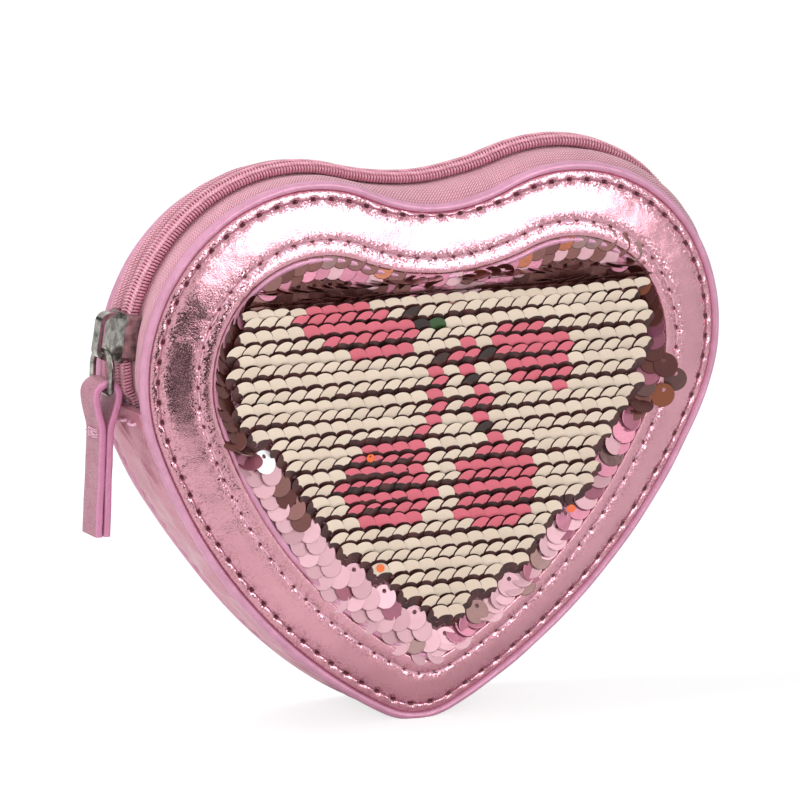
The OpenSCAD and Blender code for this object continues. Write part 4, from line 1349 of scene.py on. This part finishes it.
def against(normal, hang):
    """The turn that points a sequin's face along normal and its free edge along hang."""
    normal = np.array(normal, float) / np.linalg.norm(normal)
    up = np.array(hang, float) - np.dot(hang, normal) * normal
    up /= np.linalg.norm(up)
    return np.stack([np.cross(up, normal), up, normal], 1)


def in_outline(x, y, corners):
    """Is a point inside a closed outline?"""
    inside, n = False, len(corners)
    for i in range(n):
        (x1, y1), (x2, y2) = corners[i], corners[(i + 1) % n]
        if (y1 > y) != (y2 > y) and x < (x2 - x1) * (y - y1) / (y2 - y1) + x1:
            inside = not inside
    return inside


def near_line(x, y, points, reach):
    """Is a point within reach of a bent line?"""
    for (x1, y1), (x2, y2) in zip(points, points[1:]):
        t = ((x - x1) * (x2 - x1) + (y - y1) * (y2 - y1)) / ((x2 - x1) ** 2 + (y2 - y1) ** 2)
        t = min(1, max(0, t))
        if math.hypot(x - x1 - t * (x2 - x1), y - y1 - t * (y2 - y1)) < reach:
            return True
    return False


# Turns a sequin's reverse to the front
OVER = np.diag([-1, 1, -1])
# The cherries, drawn in millimetres across and up
FRUITS = (((-11.6, 49.3), 10.3, 9.3), ((13.4, 47.6), 9.9, 8.9))
LEAVES = (
    ((-33.8, 87.2), (-25.9, 88.6), (-16.7, 87.3), (-5, 80.9), (-9.3, 74.7), (-20.8, 76.4), (-30.1, 80.8)),
    ((11.3, 76.6), (13.4, 80.6), (20.3, 81.5), (27.4, 78.5), (30.5, 71), (28, 66.1), (18.6, 68.9)))
STEMS = (
    ((-0.2, 75.5), (-0.7, 67.3), (-1.8, 61.2), (-4, 58.3)),
    ((5.1, 76.1), (8.3, 66), (11.6, 60.2), (12.2, 57)))
VEINS = (((-1.7, 81.6), "green"), ((-6.7, 83.6), "dark"), ((10.5, 75.8), "dark"))


def face_kind(x, y):
    """The colour that a raised sequin shows at a place."""
    for place, kind in VEINS:
        if math.hypot(x - place[0], y - place[1]) < 1.9:
            return kind
    for (cx, cy), a, b in FRUITS:
        if ((x - cx) / a) ** 2 + ((y - cy) / b) ** 2 < 1:
            return "rose"
    for leaf in LEAVES:
        if in_outline(x, y, leaf):
            return "rose"
    for stem in STEMS:
        if near_line(x, y, stem, 1.9):
            return "dark" if math.sin(x * 2.9 + y * 1.7) > 0.85 else "rose"
    return "cream"


# Above this height sequins hang out from under the bead, and below it they lean on it
BROW = 90


def calm_top(x):
    """How high the sequins left turned down lie flat."""
    return 57 if x < 0 else 62


def row_places(q, k):
    """The places of a row's sequins across the purse, as far as its lobes reach."""
    return [(j + (k % 2) / 2) * q.pitch for j in range(-16, 17)]


# Sequins that show their reverse: which share of them is of which kind in each part of the window
BORDERS = {
    "crown": (("brown", 0.7), ("grey", 0.2), ("copper", 0.1)),
    "brow": (("blush", 0.3), ("plum", 0.5), ("brown", 0.2)),
    "dark": (("brown", 0.7), ("grey", 0.1), ("plum", 0.15), ("copper", 0.05)),
    "left": (("blush", 0.85), ("plum", 0.1), ("grey", 0.05)),
    "right": (("plum", 0.35), ("blush", 0.55), ("grey", 0.1)),
}
# Single sequins that stand out, the near white one a painted highlight of the lamp: place across and up, and kind
SPOTS = (((-40.7, 54.9), "painted_glare"), ((-37.1, 50.9), "brown"), ((-35.8, 47.7), "brown"), ((-34.3, 49.8), "brown"),
         ((-32.7, 44.4), "brown"), ((-31, 42.2), "brown"), ((-41.9, 57.4), "blush"))
# Small orange discs tucked behind the rims as painted glints of warm light: place across and up
GLINTS = ((-16, 56.2), (-12.7, 33.3), (31, 42))
STRAYS = (((51.2, 70.8), "brown"), ((54, 67.8), "grey"), ((51.6, 64.6), "copper"))


def border_kind(x, y, k, rng):
    """The reverse that a sequin shows at a place of the border."""
    for place, kind in SPOTS:
        if math.hypot(x - place[0], y - 2.2 - place[1]) < 1.9:
            return kind
    part = ("crown" if k >= 31 else "brow" if k == 30 or (k >= 28 and abs(x) < 14) else
            "dark" if y > calm_top(x) else "left" if x < 4 else "right")
    pick = rng.uniform()
    for kind, share in BORDERS[part]:
        pick -= share
        if pick < 0:
            return kind
    return BORDERS[part][0][0]


class PURSE_OT_sequins(bpy.types.Operator):
    """Makes the rows of two sided sequins and those left along the edge."""
    bl_idname = "purse.sequins"
    bl_label = "Sequins"

    def execute(self, context):
        q = settings("purse_sequins")
        h = hearts()
        rng = np.random.default_rng(q.seed)
        shape = disc_shape(q)
        finishes = [sequin_finish(kind) for kind in KINDS]
        rows = sorted(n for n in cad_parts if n.startswith("sequin_row_"))
        flips, last = {}, 0

        def raised(maker, x, y, k, lean):
            kind = face_kind(x, y + 2.1)
            deep = "rose" in (face_kind(x - 1.8, y - 0.4), face_kind(x + 1.8, y - 0.4))
            even = k % 2 == 0
            # below and beside set how wide the painted shade under the rims in front is, wider above rose sequins
            below = (0.8 if deep else 0.5) if even else (0.45 if deep else 0.24)
            # More painted shade over the left cherry
            if math.hypot(x + 14, y - 50) < 8:
                below += 0.5
            place = [x, y + 0.28 * math.sin(x / 9 + k * 1.7), q.pivot_z]
            turn = turned(lean + rng.normal(0, 1.0), (q.shingle if even else -2.6) + rng.normal(0, 0.6))
            add_disc(maker, shape, place, turn, kind, REVERSE[kind], rng.uniform(), 1 if even else -1,
                     below * rng.uniform(0.7, 1.35), (0.2 if even else 0.045) * rng.uniform(0.6, 1.4))
        for name in rows:
            k = int(name[-2:])
            low, high = (np.array(c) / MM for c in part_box(name))
            xs = [x for x in row_places(q, k) if low[0] + 2 < x < high[0] - 2]
            flips[k] = xs
            last = max(last, k)
            maker = Maker()
            for x in xs:
                raised(maker, x, q.first_row + k * q.row_pitch, k, q.lean)
            made = maker.done(name.replace("sequin_row", "sequins"), finishes, body=f"row_{k:02d}",
                              slot="sequin_face", smooth=False)
            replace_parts(made, name)
        top = flips[last]
        maker, border = Maker(), Maker()

        def hung(maker, x, y, tip, roll, kind, face=None):
            add_disc(maker, shape, [x, y, q.pivot_z], turned(tip, roll), face or REVERSE[kind], kind, rng.uniform())
        for i, lean in enumerate((33, 64, 84)):
            k = last + 1 + i
            y = q.first_row + k * q.row_pitch + (0, 0.4, 0.9)[i]
            for x in row_places(q, k):
                if not h.window.inside(x, y, -1.2):
                    continue
                inner = top[0] - 2 < x < top[-1] + 2
                if i == 0 and inner:
                    raised(maker, x, y, k, lean)
                else:
                    # The cream faces of these steep discs are painted brown as well: painted shade
                    kind = "plum" if rng.uniform() < 0.15 else "brown"
                    for shift, turn in ((0, lean if inner else 130), (1.8, lean + 7 if inner else 130)):
                        hung(maker, x + shift, y + shift / 4, turn + rng.normal(0, 3), rng.normal(0, 5), kind,
                             "brown")
                        kind = "brown"
                    hung(maker, x + 0.9, y + 0.6, 176 + rng.normal(0, 2), q.shingle, "brown", "brown")
        made = maker.done("standing_discs", finishes, slot="sequin_reverse", smooth=False)
        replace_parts(made, "standing_sequins")

        # Sequins left turned down around the edge
        def beside(xs, x, gap):
            return bool(xs) and xs[0] - gap < x < xs[-1] + gap
        for k in range(-1, last + 1):
            y = q.first_row + k * q.row_pitch
            for x in row_places(q, k):
                if not h.window.inside(x, y, -1.7) or beside(flips.get(k), x, 3.5):
                    continue
                if any(beside(flips.get(k - n), x, 4.6) for n in (1, 2)):
                    continue
                kind = border_kind(x, y, k, rng)
                calm = y < calm_top(x)
                tip = 180 - q.lean + 4 + rng.normal(0, 2) if calm else rng.uniform(105, 165)
                roll = (q.shingle if k % 2 == 0 else -q.shingle) * 1.7 + rng.normal(0, 1.5 if calm else 9)
                add_disc(border, shape, [x, y, q.pivot_z], turned(tip, roll), REVERSE[kind], kind, rng.uniform())
        # Two rows that hang out from under the bead, along the top
        arcs = [h.window.right_lobe(), h.window.low(), h.window.left_lobe()]
        rim = Trace(arcs, arc_counts(arcs, 3.3), False)
        for shift, inset in ((0, 1.2), (1.65, -0.9)):
            for (x, y), out in zip(rim.grown(-inset), rim.outward):
                if y < BROW or out[1] < (0.6 if inset > 1 else 0.8):
                    continue
                kind = border_kind(x, y, 30 if inset > 1 or abs(x) < 15 else 31, rng)
                hung(border, x + shift, y, 171 + rng.normal(0, 1), 1.4 * q.shingle + rng.normal(0, 0.7), kind)
        # Those that lean on the bead
        ring = Trace(h.window.round_trip(), arc_counts(h.window.round_trip(), 2.7), True)
        for place, out in zip(ring.grown(-2.7), ring.outward):
            x, y = place
            if not (x > 2 and y < BROW + 1) and not (x < 0 and calm_top(x) < y < BROW):
                continue
            kind = border_kind(x, y + 2, 0, rng)
            along = np.array([out[1], -out[0]]) * (1 if x > 0 else -1)
            tilt, twist = rng.uniform(0.35, 0.6), rng.uniform(0.1, 0.3)
            normal = [*(-out * math.sin(tilt) - along * twist), math.cos(tilt)]
            hang = [*(along + out * 0.25), 0]
            add_disc(border, shape, [x, y, 14.0 + rng.uniform(-0.1, 0.2)], against(normal, hang) @ OVER,
                     REVERSE[kind], kind, rng.uniform())
        for (x, y), kind in STRAYS:
            normal = [rng.uniform(-0.5, -0.2), rng.uniform(-0.1, 0.3), 1]
            add_disc(border, shape, [x, y, 15.6 + rng.uniform(0, 0.4)],
                     against(normal, [rng.uniform(-0.5, 0.5), -1, 0]) @ OVER, REVERSE[kind], kind, rng.uniform())
        small = (shape[0] * 0.34, *shape[1:])
        # Painted glints of warm light
        for x, y in GLINTS:
            add_disc(border, small, [x, y, 15.7], against([-0.3, -0.1, 1], [0.3, -1, 0]), "orange", "copper",
                     rng.uniform())
        made = border.done("border_discs", finishes, slot="sequin_reverse", smooth=False)
        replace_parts(made, "border_sequins")
        return {"FINISHED"}


# Stage


def lamp(name, place, target, size, watts):
    data = bpy.data.lights.new(name, "AREA")
    data.shape = "RECTANGLE"
    data.size, data.size_y = size
    data.energy = watts
    obj = bpy.data.objects.new(name, data)
    obj.location = place
    obj.rotation_euler = (Vector(target) - Vector(place)).to_track_quat("-Z", "Y").to_euler()
    obj.visible_glossy = False
    bpy.context.collection.objects.link(obj)


def rectangle(name, across, along):
    """A flat four cornered mesh object, as far across and along from its middle as given."""
    mesh = bpy.data.meshes.new(name)
    mesh.from_pydata([(-across, -along, 0), (across, -along, 0), (across, along, 0), (-across, along, 0)],
                     [], [(0, 1, 2, 3)])
    obj = bpy.data.objects.new(name, mesh)
    bpy.context.scene.collection.objects.link(obj)
    return obj


def card(name, start, toward, distance, size, strength):
    """A card that only shiny finishes mirror, in millimetres.

    toward is its azimuth and elevation from start, in degrees.
    """
    turn, rise = (math.radians(v) for v in toward)
    away = Vector((math.sin(turn) * math.cos(rise), -math.cos(turn) * math.cos(rise), math.sin(rise)))
    obj = rectangle(name, *(v / 2 * MM for v in size))
    obj.location = (Vector(start) + away * distance) * MM
    obj.rotation_euler = away.to_track_quat("Z", "Y").to_euler()
    material = bpy.data.materials.new(name)
    material.use_nodes = True
    tree = material.node_tree
    tree.nodes.clear()
    cloud = node(tree, "ShaderNodeTexNoise", {"Scale": 3.0}).outputs["Fac"]
    light = node(tree, "ShaderNodeEmission", {
        "Color": (1, 1, 1, 1), "Strength": remap(tree, cloud, 0, 1, strength * 0.95, strength * 1.05)})
    tree.links.new(light.outputs[0], node(tree, "ShaderNodeOutputMaterial").inputs["Surface"])
    obj.data.materials.append(material)
    obj.visible_camera = obj.visible_diffuse = obj.visible_shadow = obj.visible_transmission = False


class PURSE_OT_stage(bpy.types.Operator):
    """Sets the floor, the light and the camera."""
    bl_idname = "purse.stage"
    bl_label = "Stage"

    def execute(self, context):
        scene = context.scene
        scene.view_settings.view_transform = "Standard"
        world = bpy.data.worlds.new("studio")
        scene.world = world
        world.use_nodes = True
        tree = world.node_tree
        background = tree.nodes["Background"]
        path = node(tree, "ShaderNodeLightPath")
        seen = math_node(tree, "MAXIMUM", path.outputs["Is Camera Ray"], math_node(
            tree, "MAXIMUM", path.outputs["Is Glossy Ray"], path.outputs["Is Transmission Ray"]))
        strength = node(tree, "ShaderNodeMix", {0: seen, 2: 0.62, 3: 1.0}).outputs[0]
        background.inputs["Color"].default_value = (1, 1, 1, 1)
        tree.links.new(strength, background.inputs["Strength"])

        floor = rectangle("floor", 3.0, 3.0)
        material, tree, shader = finish("floor", base_color=(0.9, 0.9, 0.9, 1), roughness=0.9)
        path = node(tree, "ShaderNodeLightPath")
        grain = node(tree, "ShaderNodeTexNoise", {"Scale": 30.0})
        tone = remap(tree, grain.outputs["Fac"], 0, 1, 0.88, 0.92)
        tree.links.new(tone, shader.inputs["Base Color"])
        glow = node(tree, "ShaderNodeEmission", {"Color": (1, 1, 1, 1), "Strength": 0.76})
        lit = node(tree, "ShaderNodeAddShader")
        pale = node(tree, "ShaderNodeBsdfDiffuse", {"Color": (0.34, 0.34, 0.34, 1)})
        tree.links.new(pale.outputs[0], lit.inputs[0])
        tree.links.new(glow.outputs[0], lit.inputs[1])
        pick = node(tree, "ShaderNodeMixShader", {0: path.outputs["Is Camera Ray"]})
        tree.links.new(shader.outputs[0], pick.inputs[1])
        tree.links.new(lit.outputs[0], pick.inputs[2])
        tree.links.new(pick.outputs[0], tree.nodes["Material Output"].inputs["Surface"])
        floor.data.materials.append(material)

        lamp("key", (-0.4, 0.1, 0.8), (0, 0, 0.06), (0.3, 0.3), 4.0)
        lamp("front", (-0.55, -0.85, 0.35), (0, 0, 0.06), (0.5, 0.5), 4.0)
        card("bright_card", (0, 0, 85), (24, 22), 1000, (720, 680), 5.0)
        card("dark_card", (-62, -12, 53), (0, 0), 158, (112, 104), 0.0)
        card("side_card", (-70, 0, 80), (-150, 12), 900, (420, 300), 0.04)

        # The photo's own view: turned to the left front, a little from above, and rolled
        turn, rise, roll = (math.radians(v) for v in (30, 13, 2.39))
        ahead = Vector((math.sin(turn) * math.cos(rise), math.cos(turn) * math.cos(rise), -math.sin(rise)))
        right = Vector((math.cos(turn), -math.sin(turn), 0))
        up = Vector((math.sin(turn) * math.sin(rise), math.cos(turn) * math.sin(rise), math.cos(rise)))
        rolled_right = right * math.cos(roll) + up * math.sin(roll)
        rolled_up = up * math.cos(roll) - right * math.sin(roll)
        # The camera stands far off. scale is the picture's pixels for a millimetre, shift is how many it looks left
        distance, scale, shift = 2500, 5, 33.9
        data = bpy.data.cameras.new("camera")
        data.sensor_width = 36
        data.lens = 36 * scale * distance / 800
        data.clip_end = 20
        camera = bpy.data.objects.new("camera", data)
        scene.collection.objects.link(camera)
        place = Vector((0, -12.4, 65.77)) - ahead * distance - rolled_right * (shift / scale)
        basis = Matrix((rolled_right, rolled_up, -ahead)).transposed().to_4x4()
        camera.matrix_world = Matrix.Translation(place * MM) @ basis
        scene.camera = camera
        return {"FINISHED"}


class PURSE_PT_panel(bpy.types.Panel):
    """Lists the purse's pieces."""
    bl_label = "Heart shaped purse"
    bl_idname = "PURSE_PT_panel"
    bl_space_type = "VIEW_3D"
    bl_region_type = "UI"
    bl_category = "Purse"

    def draw(self, context):
        for operator in OPERATORS:
            self.layout.operator(operator.bl_idname, text=operator.bl_label)


OPERATORS = (
    PURSE_OT_stage, PURSE_OT_front_panel, PURSE_OT_beads, PURSE_OT_back_panel, PURSE_OT_wadding, PURSE_OT_gusset,
    PURSE_OT_cloths, PURSE_OT_zip, PURSE_OT_slider, PURSE_OT_pull, PURSE_OT_sequins)
GROUP_CLASSES = {
    "purse_outline": PurseOutline, "purse_layers": PurseLayers, "purse_zip": PurseZip,
    "purse_sequins": PurseSequins, "purse_colours": PurseColours}
CLASSES = (*GROUP_CLASSES.values(), *OPERATORS, PURSE_PT_panel)


def register():
    for cls in CLASSES:
        bpy.utils.register_class(cls)
    for name, cls in GROUP_CLASSES.items():
        setattr(bpy.types.Scene, name, bpy.props.PointerProperty(type=cls))


def unregister():
    for name in GROUP_CLASSES:
        delattr(bpy.types.Scene, name)
    for cls in reversed(CLASSES):
        bpy.utils.unregister_class(cls)


def main():
    """Makes every piece."""
    register()
    for operator in OPERATORS:
        getattr(bpy.ops.purse, operator.bl_idname.split(".")[1])()


if __name__ == "__main__":
    main()
